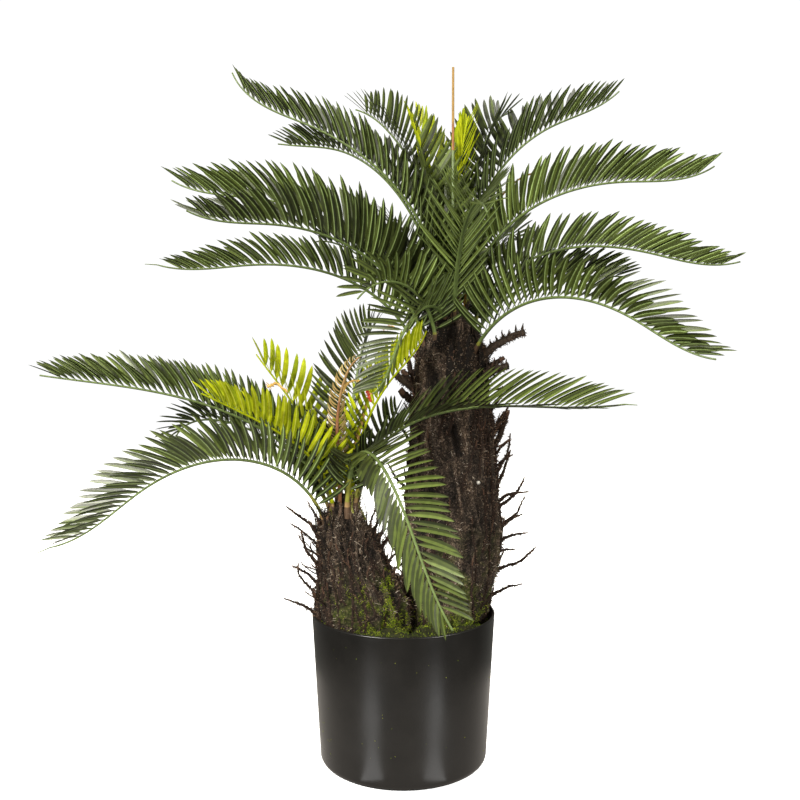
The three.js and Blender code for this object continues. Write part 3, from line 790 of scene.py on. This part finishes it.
def make_trunk(name, trunk, coirs, sectors, pitch=1.15):
    """A trunk's matted skin, in three shades of coir by how far each place stands proud: darker in the
    hollows as painted shade, lighter on the ridges as painted light.
    """
    foot, shoulder = ends(trunk)
    dome = np.linspace(shoulder, head_top(trunk) - 0.8, 26)
    heights = np.concatenate([np.arange(foot - 3, shoulder, pitch), dome])
    z, turn = np.meshgrid(heights, turns_round(sectors), indexing="ij")
    off = relief(trunk, turn, z)
    _, radius = trunk_at(trunk, z)
    points, _ = surface_point(trunk, turn, z, np.maximum(off, -0.6 * radius))
    # Hollows take the darkest coir and what stands proud the lightest: painted shade and light.
    painted_light_level = (off[:-1] + RNG.normal(0, 0.7, off[:-1].shape)).ravel()
    piece = Piece()
    piece.add(points * MM, tube_faces(len(heights), sectors), [np.searchsorted([-0.9, 1.7], painted_light_level), 0, 0])
    piece.build(f"{name}_skin", coirs, "trunk", [name], angle=180)


def add_hairs(piece, roots, ways, long, thick, slots, curl):
    """Short curved hairs of three sides and three rings."""
    number = len(roots)
    steps = np.array([0, 0.55, 1])
    sag = unit(RNG.normal(0, 1, (number, 3)))
    line = roots[:, None] + ways[:, None] * (long[:, None] * steps)[..., None]
    line = line + sag[:, None] * (curl * long[:, None] * steps**2)[..., None]
    along = unit(np.gradient(line, axis=1))
    across = unit(np.cross(along, sag[:, None] + 0.01))
    other = np.cross(along, across)
    turn = turns_round(3)[:, None]
    size = thick[:, None] * np.array([1, 0.8, 0.25])
    out = across[:, :, None] * np.cos(turn) + other[:, :, None] * np.sin(turn)
    points = line[:, :, None] + size[:, :, None, None] * out
    piece.add(points * MM, tube_faces(3, 3, number), [np.repeat(slots, 6), slots, slots])


def make_fur(name, trunk, count):
    """The short coir fibres that stand out of the matting all round."""
    foot, _ = ends(trunk)
    z = RNG.uniform(foot, foot + (head_top(trunk) - foot) * 0.9, count)
    turn = any_turn(count)
    roots, out = surface_point(trunk, turn, z)
    off = relief(trunk, turn, z)
    roots = roots + out * (off - 0.5)[:, None]
    way = unit(RNG.normal(0, 0.8, (count, 3)) + out * RNG.uniform(0.2, 1.3, (count, 1)) + [0, 0, 0.35])
    way = unit(way + out * np.maximum(0, 0.15 - (way * out).sum(1))[:, None])
    long = RNG.uniform(1.2, 4.2, count) * np.where(RNG.random(count) < 0.12, 2.0, 1)
    # Hairs where the matting stands proud take lighter materials and those in its hollows darker, as painted
    # light and shade, with a random spread.
    light = np.clip((off + RNG.normal(0, 1.2, count)) / 3, -1, 1)
    slots = np.clip(np.round(1.1 + 1.3 * light + RNG.normal(0, 0.6, count)), 0, 3).astype(int)
    piece = Piece()
    add_hairs(piece, roots, way, long, RNG.uniform(0.18, 0.36, count), slots, 0.4)
    piece.build(name, HAIRS, "trunk", angle=180)


def add_whisker(piece, points, thick, thorn=1.9, rings=24, taper=0.82, gap=0.9, shares=(0.35, 0.4, 0.25)):
    """A stiff old leaf stalk through points, of radius thick at its foot and tapering to its tip, rough
    with short thorns gap mm apart. shares are those of the three slots among the thorns."""
    points = np.array(points, float)
    knots = np.concatenate([[0], np.cumsum(np.linalg.norm(np.diff(points, axis=0), axis=1))])
    part = np.linspace(0, 1, rings)
    line = along_line(part, knots / knots[-1], points)
    for _ in range(2):
        line[1:-1] = 0.25 * line[:-2] + 0.5 * line[1:-1] + 0.25 * line[2:]
    line = line + RNG.normal(0, 0.22, line.shape)
    along, across, up = frame_along(line)
    size = 2 * thick * (1 - taper * part**1.5)
    slots = np.searchsorted([0.86, 0.97], part[:-1])
    tube(piece, line * MM, across, up, size * MM, size * 0.8 * MM, sides=6, slots=slots, rough=0.22)
    count = int(np.linalg.norm(np.diff(line, axis=0), axis=1).sum() / gap)
    where = RNG.uniform(0.02, 0.97, count)
    root, lead, side = [along_line(where, part, values) for values in (line, along, across)]
    spin = any_turn((count, 1))
    out = side * np.cos(spin) + np.cross(lead, side) * np.sin(spin)
    way = unit(out + lead * RNG.uniform(-0.6, 0.9, (count, 1)))
    long = thorn * RNG.uniform(0.5, 1.3, count) * (1.2 - 0.8 * where)
    root = root + out * (np.interp(where, part, size) / 2 * 0.5)[:, None]
    thin = thorn * (0.22 - 0.09 * where)
    add_hairs(piece, root, way, long + 0.5, thin, RNG.choice(3, count, p=shares), 0.2)


def whisker_path(trunk, z, turn, cling, mid, tip, sway=0.0):
    """Points of a stalk that runs cling mm up along the trunk to height z, then leaves it through
    mid and tip, each a distance out and up from there."""
    low = max(ends(trunk)[0] - 2, z - cling)
    share = np.linspace(0, 1, 8)
    heights = low + (z - low) * share
    _, radius = trunk_at(trunk, heights)
    wave = RNG.uniform(0.8, 2.2) * np.sin(share * 6 + RNG.uniform(0, 6))
    turns = turn + (RNG.normal(0, 0.13) * (heights - z) + wave) / radius
    skin, out = surface_point(trunk, turns, heights)
    points = list(skin + out * (relief(trunk, turns, heights) + 0.2 + 0.9 * share)[:, None])
    out = out[-1]
    around = sideways(out)
    last = points[-1]
    for (away, up), part in ((mid, 0.5), (tip, 1.0)):
        points.append(last + out * away + np.array([0, 0, up]) + around * sway * part)
    return points


# Stalks that show on the outline: height, turn in degrees, then how far out and up their middle and tip are.
TALL_OUTLINE = [
    (321, -10, (9, 10), (15, 23)), (311, 2, (6, 8), (16, 16)), (292, -4, (6, 10), (15, 18)),
    (280, 6, (12, 10), (20, 14)), (276, -8, (12, 21), (14, 40)), (262, 4, (6, 12), (14, 36)),
    (249, -6, (9, 8), (30, 11)), (241, 8, (18, 14), (26, 31)), (226, -3, (15, 10), (24, 29)),
    (222, 9, (12, 8), (22, 12)), (214, -8, (11, 4), (25, 6)), (198, 5, (8, 2), (18, 2)),
    (182, -3, (25, 9), (39, 24)), (186, 14, (4, 6), (6, 12)), (155, 6, (15, 8), (31, 11)),
    (306, 172, (8, 8), (12, 22)), (262, 186, (10, 9), (18, 24)), (338, -12, (8, 10), (12, 24)),
]
# Stout ragged stalks of the upper half, with their radius last.
TALL_CHUNKS = [
    (354, 187, (6, 9), (14, 23), 5.2), (344, 181, (8, 6), (16, 14), 5.4), (378, -9, (8, 5), (17, 11), 4.0),
    (366, 176, (5, 10), (8, 24), 4.2), (300, -4, (7, 14), (15, 38), 3.6), (314, 5, (5, 8), (12, 22), 3.4),
]
SHORT_OUTLINE = [
    (213, 186, (14, 12), (26, 20)), (225, 176, (14, 11), (31, 23)), (191, 180, (14, 15), (18, 35)),
    (164, 184, (17, 20), (17, 32)), (172, 174, (12, 12), (26, 19)), (144, 182, (10, 8), (32, 16)),
    (150, 190, (2, 11), (3, 23)), (218, 196, (7, 10), (11, 20)), (228, 200, (3, 12), (12, 28)),
    (214, -6, (5, 14), (8, 34)), (206, 8, (9, 14), (18, 26)), (222, 10, (4, 14), (1, 30)),
    (196, -12, (9, 10), (22, 20)), (186, 4, (12, 8), (20, 8)), (228, -20, (4, 14), (10, 26)),
    (178, -4, (8, 12), (10, 26)),
]


def make_whiskers(name, trunk, outline, chunks, free, clinging):
    """Stalks on the outline, others that stand free all round, and those that cling to the trunk."""
    piece = Piece()
    for z, turn, mid, tip in outline:
        cling = RNG.uniform(14, 30)
        path = whisker_path(trunk, z, math.radians(turn), cling, mid, tip, RNG.normal(0, 3))
        add_whisker(piece, path, RNG.uniform(1.8, 2.3), thorn=3.1, taper=0.66, gap=0.6)
    for z, turn, mid, tip, thick in chunks:
        path = whisker_path(trunk, z, math.radians(turn), 16, mid, tip)
        add_whisker(piece, path, thick, thorn=3.4, taper=0.45, gap=0.35)
    foot, shoulder = ends(trunk)
    for k in range(free + clinging):
        z, turn = RNG.uniform(foot + 26, shoulder - 2), any_turn()
        reach, up = RNG.uniform(6, 24), RNG.uniform(6, 26)
        # Those in front cling too, so that they don't hide the trunk from the camera.
        if k >= free or abs(math.degrees(turn) - FRONT) < 50:
            reach, up = RNG.uniform(1, 4), RNG.uniform(5, 14)
        mid = (0.6 * reach, 0.35 * up)
        path = whisker_path(trunk, z, turn, RNG.uniform(25, 75), mid, (reach, up), RNG.normal(0, 4))
        add_whisker(piece, path, RNG.uniform(1.1, 1.8), taper=0.62, gap=1.1, shares=(0.2, 0.4, 0.4))
    piece.build(name, WHISKERS, "trunk", angle=180)


def make_sheaths(name, trunk, count, low, high, long, wide, slots, fibres):
    """The bases of cut leaves that stand round a head, and the fibres that stand up between them."""
    piece = Piece()
    share = np.linspace(0, 1, 12)
    for k in range(count):
        # Three times round, so that each stands apart from the last.
        turn = TAU * (k + RNG.uniform(-0.4, 0.4)) / count * 3
        z, length = RNG.uniform(low, high), RNG.uniform(*long)
        heights = z + length * share
        turns = turn + RNG.normal(0, 0.12) * share
        skin, out = surface_point(trunk, turns, np.minimum(heights, head_top(trunk) - 12))
        skin[:, 2] = heights
        lean = RNG.uniform(1.0, 3.0) + RNG.uniform(0, 5) * share**2
        line = skin + out * lean[:, None]
        around = sideways(out)
        width = RNG.uniform(*wide) * (0.75 + 0.25 * np.sin(math.pi * share))
        width = width * np.sqrt(np.clip(1.06 - share**3, 0, 1))
        depth = 2.6 - 1.4 * share
        slot = slots[RNG.integers(len(slots))]
        tube(piece, line * MM, around, out, width * MM, depth * MM, sides=10, slots=slot, rough=0.16)
        number = int(length * 2.2)
        where = RNG.uniform(0.0, 1.0, number)
        edge = RNG.uniform(-0.5, 0.5, number) * np.interp(where, share, width)
        root = along_line(where, share, line) + around[:1] * edge[:, None] * 0.9 + out[:1] * 0.8
        way = around[:1] * np.sign(edge)[:, None] + out[:1] + [0, 0, 1.0] * RNG.uniform(0, 1.6, (number, 1))
        way = unit(way + RNG.normal(0, 0.5, (number, 3)))
        add_hairs(
            piece, root, way, RNG.uniform(1.2, 3.4, number), RNG.uniform(0.18, 0.34, number),
            RNG.choice([0, 1, 2, 3], number), 0.3,
        )
    for _ in range(fibres):
        turn, z = any_turn(), RNG.uniform(low - 12, high + 12)
        skin, out = surface_point(trunk, np.array([turn]), np.array([z]), 0.5)
        way = unit(np.array([0, 0, 1.0]) + out[0] * RNG.uniform(0.0, 0.6) + RNG.normal(0, 0.14, 3))
        length = RNG.uniform(14, 36)
        bend = RNG.normal(0, 0.10, 3) * length
        path = [skin[0], skin[0] + way * length * 0.5, skin[0] + way * length + bend]
        add_whisker(piece, path, RNG.uniform(0.45, 0.9), thorn=1.3, rings=10)
    piece.build(name, SHEATHS + [RIB_OLIVE, SHOOT_BROWN, RIB_BROWN], "trunk", angle=60)


TALL["ridges"] = make_ridges(TALL, broad=44, narrow=60, hollows=40)
SHORT["ridges"] = make_ridges(SHORT, broad=22, narrow=36, hollows=18)
make_trunk("tall_trunk", TALL, TALL_COIRS, sectors=250)
make_trunk("short_trunk", SHORT, SHORT_COIRS, sectors=210)
make_fur("tall_coir_hairs", TALL, 10000)
make_fur("short_coir_hairs", SHORT, 5500)
make_whiskers("tall_whiskers", TALL, TALL_OUTLINE, TALL_CHUNKS, free=40, clinging=56)
make_whiskers("short_whiskers", SHORT, SHORT_OUTLINE, [], free=24, clinging=32)
make_sheaths(
    "tall_sheaths", TALL, count=31, low=352, high=404, long=(34, 58), wide=(7, 12), slots=(0, 0, 1),
    fibres=26,
)
make_sheaths(
    "short_sheaths", SHORT, count=22, low=208, high=228, long=(18, 32), wide=(1.6, 3.0), slots=(0, 1, 1),
    fibres=60,
)
make_sheaths(
    "short_leaf_bases", SHORT, count=17, low=234, high=246, long=(14, 24), wide=(3.0, 5.0),
    slots=(4, 5, 5, 6, 6), fibres=0,
)

# ---- dead stubs and shoots


def make_stubs():
    """The dead leaf stubs under the tall head, each with a row of teeth along its upper side."""
    for i, stub in enumerate(TALL_STUBS):
        name = f"tall_stub_{i + 1}"
        line = rib_of(name, TALL, stub, 18)
        piece = Piece()
        place, across, up, part = rooted(line, 5)
        width, depth = tapered(STUB, "width", part), tapered(STUB, "depth", part)
        tube(piece, place * MM, across, up, width * MM, depth * MM, sides=10, slots=0, rough=0.14)
        for share in (np.arange(stub["teeth"]) + 0.8) / stub["teeth"]:
            root, lead, rise = [at(line, key, np.array([share]))[0] for key in ("place", "along", "upper")]
            high = stub["tooth"] * RNG.uniform(0.75, 1.15)
            tip = root + rise * (high + 3) + lead * high * 0.35
            middle = root + rise * (0.5 * high + 2) + lead * high * 0.03
            add_whisker(piece, [root, middle, tip], 1.7, thorn=1.0, rings=8, taper=0.9)
        count = int(stub["length"] * 9)
        share = RNG.uniform(0, 1.02, count)
        spin = any_turn((count, 1))
        way = at(line, "right", share) * np.cos(spin) + at(line, "upper", share) * np.sin(spin)
        root = at(line, "place", share) + way * (3.6 - 1.2 * share)[:, None]
        way = unit(way + at(line, "along", share) * RNG.uniform(-0.6, 1.4, (count, 1)))
        add_hairs(
            piece, root, way, RNG.uniform(1.2, 3.4, count), np.full(count, 0.3),
            RNG.choice(3, count, p=[0.6, 0.3, 0.1]), 0.3,
        )
        piece.build(f"{name}_dead", [DEAD_STUB] + WHISKERS[1:], "trunk", [name], angle=180)


def make_shoot(name, trunk, spec, width, slots, materials, leaves=None):
    """A bare young stem, width mm wide at its foot and tip; leaves adds the curled leaflets it carries."""
    line = rib_of(name, trunk, spec)
    piece = Piece()
    place, across, up, part = rooted(line, 5)
    size = width[0] + (width[1] - width[0]) * part
    slot = np.array(slots)[np.searchsorted([0.64, 0.75], part[:-1])]
    tube(piece, place * MM, across, up, size * MM, size * 0.85 * MM, sides=8, slots=slot, rough=0.03)
    if leaves:
        leaves(piece, spec, line)
    piece.build(f"{name}_stem", materials, "shoot", [name], angle=60)


def curled_leaflets(piece, spec, line):
    """Short cream leaflets that curl back on themselves. Their slots follow the stem's two."""
    small = dict(spec, leaf=14, pitch=3.4, slim=0.7, bare=(0.2, 0.2))
    same = np.arange(2 + len(CREAMS))

    def draw(parts):
        return 2 + RNG.choice(len(CREAMS), len(parts))

    add_leaflets(piece, small, line, draw, (same, same), curl=75, until=0.98)


make_stubs()
make_shoot("tall_shoot_1", TALL, TALL_SHOOTS[0], (3.4, 2.2), (2, 1, 0), [SHOOT_ORANGE, SHOOT_RUST, RIB_GREEN])
make_shoot("tall_shoot_2", TALL, TALL_SHOOTS[1], (3.2, 2.0), (0, 0, 0), [SHOOT_ORANGE, SHOOT_RUST])
make_shoot(
    "short_shoot_1", SHORT, SHORT_SHOOTS[0], (4.0, 2.0), (1, 0, 0), [SHOOT_BEIGE, SHOOT_BROWN] + CREAMS,
    curled_leaflets,
)
make_shoot("short_shoot_2", SHORT, SHORT_SHOOTS[1], (5.8, 4.0), (0, 0, 0), [SHOOT_PEACH])

# Curled tips of shoots still folded up between the leaves, as places along them.
CURLS = [
    ((-121.6, -60, 364.5), (-113.5, -60, 368.1), (-102.9, -60, 360.1)),
    ((-57.5, -45, 355.5), (-51.6, -45, 367.3), (-44.8, -45, 370.0), (-37.8, -45, 369.1)),
    ((-18.9, -20, 416.0), (-12.4, -20, 418.8), (-5.9, -20, 416.0)),
]
RED_CURL = ((-33.3, -60, 364.5), (-31.5, -60, 359), (-28.8, -60, 351))


def make_curls():
    """The curled tips and the red one, built as stalks with long thorns."""
    piece = Piece()
    for points in CURLS:
        add_whisker(piece, points, 1.3, thorn=2.4, rings=14, taper=0.4, shares=(0.4, 0.5, 0.1))
    piece.build("curled_tips", [SHOOT_GOLD, SHOOT_PEACH, SHOOT_ORANGE], "shoot", angle=60)
    piece = Piece()
    add_whisker(piece, RED_CURL, 1.5, thorn=3.0, rings=14, taper=0.4)
    piece.build("red_curl", [SHOOT_RED, SHOOT_RED, SHOOT_RUST], "shoot", angle=60)


make_curls()

# ---- pot

# The dent: where it is and how far it reaches across and up, in mm, and its depth in metres.
DENT = dict(x=5, z=17, across=7, up=5, deep=0.0009)


def pot_outer(z):
    return POT["foot_radius"] + (POT["rim_radius"] - POT["foot_radius"]) * z / POT["height"]


def pot_inner(z):
    return pot_outer(z) - POT["wall"]


def turned(piece, profile, sides):
    """A closed turned body from a profile of radius and height that starts and ends on the axis."""
    profile = np.array(profile, float)
    ring = profile[1:-1]
    points = on_circle(ring[:, :1], turns_round(sides), ring[:, 1:]).reshape(-1, 3)
    points = np.vstack([points, [0, 0, profile[0, 1]], [0, 0, profile[-1, 1]]])
    here = np.arange(sides)
    after = np.roll(here, -1)
    count = len(ring) * sides
    foot = np.stack([after, here, np.full(sides, count)], -1)
    top = np.stack([count - sides + here, count - sides + after, np.full(sides, count + 1)], -1)
    piece.add(points * MM, [ring_quads(len(ring), sides), foot, top], [0, 0, 0])


def arc(centre, radius, start, end, steps):
    """Points of an arc between two turns in degrees."""
    turn = np.radians(np.linspace(start, end, steps))
    return [(centre[0] + radius * math.cos(a), centre[1] + radius * math.sin(a)) for a in turn]


def make_pot():
    """The thin-walled pot, turned, with a shallow dent low on its front."""
    foot, floor, top = POT["foot_round"], POT["floor"], POT["height"]
    middle = (pot_outer(top) + pot_inner(top)) / 2
    half = POT["wall"] / 2
    profile = [(0, 0), (60, 0)]
    profile += arc((pot_outer(foot) - foot, foot), foot, -90, 0, 10)
    profile += [(pot_outer(z), z) for z in np.linspace(foot + 4, top - half - 1, 34)]
    profile += arc((middle, top - half), half, 0, 180, 11)
    profile += [(pot_inner(z), z) for z in np.linspace(top - half - 2, foot + 2, 12)]
    profile += arc((pot_inner(foot) - (foot - floor), foot), foot - floor, 0, -90, 8)
    profile += [(60, floor), (0, floor)]
    piece = Piece()
    turned(piece, profile, 160)
    made = piece.build("pot_body", [POT_BLACK], "pot", ["pot"], angle=60)
    dent = Vector((DENT["x"] * MM, 0, DENT["z"] * MM))
    for vertex in made.data.vertices:
        away = vertex.co - dent
        gap = Vector((away.x / DENT["across"], 0, away.z / DENT["up"])).length / MM
        if vertex.co.y < -0.06 and gap < 1.6:
            vertex.co.y -= DENT["deep"] * math.exp(-3 * gap * gap)


make_pot()

# ---- moss

# The hollow between the trunks, and the mounds of the moss: place, reach and height.
HOLLOW = (6, -40)
MOUNDS = [(-14, -56, 26, 9), (30, -62, 26, 8), (62, -34, 20, 4), (-62, -40, 18, 5), (-40, 56, 30, 5)]
MOSS_FOOT = 132


def between_trunks(x, y, wide, deep):
    """1 in the hollow between the trunks, falling to 0 round it."""
    return np.exp(-(((x - HOLLOW[0]) / wide) ** 2 + ((y - HOLLOW[1]) / deep) ** 2))


def mound(x, y):
    """Height of the moss over the flat filling: high at the front and right, low between the trunks."""
    high = 3.0 + 3.5 * noise_at(x / 16, y / 16, 0.3)
    high = high + 2.0 * noise_at(x / 5, y / 5, 2.3)
    for cx, cy, reach, top in MOUNDS:
        high = high + top * np.exp(-(((x - cx) ** 2 + (y - cy) ** 2) / reach**2))
    return high - 9 * between_trunks(x, y, 7, 16)


def make_bed():
    """The body of the filling, with the mounds on it."""
    rings, sides = 44, 132
    edge = pot_inner(FILL_TOP) - 0.8
    radius, turn = np.meshgrid(np.linspace(1.0, edge, rings), turns_round(sides), indexing="ij")
    x, y = radius * np.cos(turn), radius * np.sin(turn)
    top = np.stack([x, y, FILL_TOP + mound(x, y)], -1)[::-1]
    low = on_circle(edge, turn[0], FILL_TOP - 12.0)
    foot = on_circle(pot_inner(POT["foot_round"]) - 8, turn[0], POT["floor"] + 0.6)
    points = np.concatenate([foot[None], low[None], top])
    piece = Piece()
    piece.add(points * MM, tube_faces(len(points), sides), [0, 0, 0])
    piece.build("moss_bed", [SOIL], "filling", ["moss_filling"], angle=180)


def add_tufts(piece, roots, ways, slots):
    """Moss tufts: each a few short pointed shoots."""
    for _ in range(2):
        way = unit(ways + RNG.normal(0, 0.6, ways.shape))
        long = RNG.uniform(0.8, 2.4, len(roots))
        jitter = RNG.normal(0, 0.6, roots.shape)
        add_hairs(piece, roots + jitter, way, long, RNG.uniform(0.22, 0.40, len(roots)), slots, 0.35)


def make_moss():
    """Tufts all over the filling, except where the trunks stand, and up the feet of the trunks."""
    piece = Piece()
    count = 3300
    radius = (pot_inner(FILL_TOP) - 3) * np.sqrt(RNG.random(count))
    turn = any_turn(count)
    x, y = radius * np.cos(turn), radius * np.sin(turn)
    clear = np.ones(count, bool)
    for trunk in (TALL, SHORT):
        _, cx, cy, r = trunk["profile"][0]
        clear &= np.hypot(x - cx, y - cy) > r - 3
    clear &= RNG.random(count) > 0.85 * between_trunks(x, y, 8, 18)
    x, y = x[clear], y[clear]
    roots = np.stack([x, y, FILL_TOP + mound(x, y) - 0.6], -1)
    ways = np.broadcast_to([0, 0, 1.0], roots.shape)
    patch = noise_at(x / 13, y / 13, 5.1)
    bright, middling, dark = [RNG.choice(kinds, len(x)) for kinds in ([0, 0, 1, 4], [1, 2, 2], [2, 3, 3])]
    add_tufts(piece, roots, ways, np.where(patch > 0.12, bright, np.where(patch > -0.2, middling, dark)))
    # Round which turn and how far each way in degrees, up to what height, and how many.
    for trunk, centre, spread, top, number in (
        (SHORT, 312, 56, 192, 3300), (SHORT, 90, 80, 160, 500),
        (TALL, 290, 70, 165, 900), (TALL, 100, 80, 160, 500),
    ):
        turn = np.radians(RNG.normal(centre, spread * 0.5, number))
        z = MOSS_FOOT + (top - MOSS_FOOT) * RNG.random(number) ** 1.4
        keep = noise_at(turn * 3.1, z / 14, 1.7) > -0.35 + 0.6 * (z - MOSS_FOOT) / (top - MOSS_FOOT)
        turn, z = turn[keep], z[keep]
        roots, out = surface_point(trunk, turn, z)
        roots = roots + out * (relief(trunk, turn, z) - 0.3)[:, None]
        add_tufts(piece, roots, unit(out + [0, 0, 0.5]), RNG.choice([0, 0, 1, 1, 2, 4], len(z)))
    piece.build("moss_tufts", MOSSES, "filling", angle=180)


make_bed()
make_moss()

# ---- small things


def make_specks():
    """A pale pebble caught in the coir and crumbs of moss stuck to the pot."""
    piece = Piece()
    spots = []
    for _ in range(70):
        z, turn = RNG.uniform(14, 138), any_turn()
        place = np.array([pot_outer(z) * math.cos(turn), pot_outer(z) * math.sin(turn), z])
        spots.append((place, RNG.uniform(0.16, 0.42), RNG.choice([1, 2, 2])))
    pebble, _ = surface_point(TALL, np.array([math.radians(-58)]), np.array([273.0]), 1.6)
    spots.append((pebble[0], 1.9, 0))
    for centre, size, slot in spots:
        wide, heights = np.array([[0.6], [1], [0.6]]) * size, np.array([[-0.8], [0], [0.8]]) * size
        ring = on_circle(wide, turns_round(6), heights)
        piece.add((centre + ring) * MM, tube_faces(3, 6), [slot, slot, slot])
    piece.build("crumbs", [PEBBLE, MOSSES[1], MOSSES[4]], "filling", angle=180)


make_specks()

# ---- stage, light and camera

scene = bpy.context.scene
scene.view_settings.view_transform = "Standard"
scene.view_settings.look = "None"

WARM = (1, 0.97, 0.90)
# Lens and sensor in mm, place in metres, how far it looks down in radians, and its shift as a share.
CAMERA = dict(lens=45, sensor=36, place=(0, -0.950, 0.418), dip=0.073, shift=-3.4 / 800)


def make_world():
    """White paper to the camera, and to everything else a dim studio, lighter above and behind."""
    world = bpy.data.worlds.new("studio")
    scene.world = world
    world.use_nodes = True
    sky = Nodes(world.node_tree)
    place = sky.add("TexCoord").outputs["Generated"]
    rise = sky.band(sky.part_of(place, "Z"), -1, 1)
    height = sky.ramp(rise, [(0.35, (0.04, 0.039, 0.033)), (0.75, (0.17, 0.17, 0.15))])
    back = sky.band(sky.part_of(place, "Y"), 0.2, 0.95)
    fill = world.node_tree.nodes["Background"]
    fill.inputs["Strength"].default_value = 1.0
    sky.link(sky.mix(back, height, (0.25, 0.245, 0.22)), fill.inputs["Color"])
    paper = sky.add("Background", Color=(1, 1, 1, 1), Strength=1.05)
    mix = sky.add("MixShader")
    sky.link(sky.add("LightPath").outputs["Is Camera Ray"], mix.inputs["Fac"])
    sky.link(fill.outputs["Background"], mix.inputs[1])
    sky.link(paper.outputs["Background"], mix.inputs[2])
    sky.link(mix.outputs["Shader"], world.node_tree.nodes["World Output"].inputs["Surface"])


def make_floor():
    """A white floor that glows, so that it can't be told from the white behind it."""
    shader = Shader("floor_white", 0.7, (0.86, 0.86, 0.85))
    shader.main.inputs["Emission Color"].default_value = (1, 1, 1, 1)
    shader.main.inputs["Emission Strength"].default_value = 0.9
    mesh = bpy.data.meshes.new("floor")
    mesh.from_pydata([(-3, -3, 0), (3, -3, 0), (3, 3, 0), (-3, 3, 0)], [], [(0, 1, 2, 3)])
    mesh.materials.append(shader.material)
    floor = bpy.data.objects.new("floor", mesh)
    floor.location.z = -0.0005
    floor.visible_diffuse = floor.visible_glossy = False
    scene.collection.objects.link(floor)


def area_light(name, place, target, size, power, colour=(1, 1, 1), glossy_only=False):
    """A rectangular light that shines from place to target. A glossy_only one shows only as a reflection."""
    light = bpy.data.lights.new(name, "AREA")
    light.shape = "RECTANGLE"
    light.size, light.size_y = size
    light.energy = power
    light.color = colour
    lamp = bpy.data.objects.new(name, light)
    lamp.location = place
    lamp.rotation_euler = (Vector(target) - Vector(place)).to_track_quat("-Z", "Y").to_euler()
    lamp.visible_camera = False
    if glossy_only:
        lamp.visible_diffuse = False
    scene.collection.objects.link(lamp)
    return lamp


def make_camera():
    """The photo's camera: just above the middle of the plant, tilted a little down."""
    data = bpy.data.cameras.new("camera")
    data.lens, data.sensor_width, data.shift_x = CAMERA["lens"], CAMERA["sensor"], CAMERA["shift"]
    camera = bpy.data.objects.new("camera", data)
    camera.location = CAMERA["place"]
    camera.rotation_euler = (math.pi / 2 - CAMERA["dip"], 0, 0)
    scene.collection.objects.link(camera)
    scene.camera = camera


def make_lights():
    """Two keys at the front, lights low in front, behind and above, and the glow of the white table."""
    aim, key, wide = (0, 0, 0.35), (0.5, 0.5), (0.7, 0.7)
    area_light("key_left", (-1.1, -1.3, 1.1), aim, key, 64, WARM)
    area_light("key_right", (1.3, -1.2, 0.9), aim, key, 30, WARM)
    area_light("front", (-0.1, -1.9, 0.30), aim, wide, 24, WARM).visible_glossy = False
    area_light("back", (0.6, 1.7, 1.0), aim, (0.8, 0.8), 42, WARM).visible_glossy = False
    area_light("top", (0, 0.1, 1.9), (0, 0, 0.3), wide, 14, WARM)
    pale, disk = (1, 0.90, 0.80), (0.54, 0.54)
    glow = area_light("table", (0, 0, 0.003), (0, 0, 1), disk, 0.42, pale, glossy_only=True)
    glow.data.shape = "DISK"


def make_strips():
    """Strips of light that lie beside the pot and show only as streaks on its left and right."""
    near_turn, far_turn = math.radians(21), math.radians(42)
    for side in (-1, 1):
        near, far = [Vector((side * math.sin(turn), -math.cos(turn), 0)) for turn in (near_turn, far_turn)]
        for reach, size, power in ((0.05, (0.026, 0.09), 0.017), (0.155, (0.060, 0.12), 0.060)):
            spot = near * 0.083 + far * reach + Vector((0, 0, 0.005))
            above = spot + Vector((0, 0, 1))
            strip = area_light(f"strip_{side}_{reach}", spot, above, size, power, glossy_only=True)
            strip.rotation_euler = (math.pi, 0, side * far_turn)


make_world()
make_floor()
make_lights()
make_strips()
make_camera()
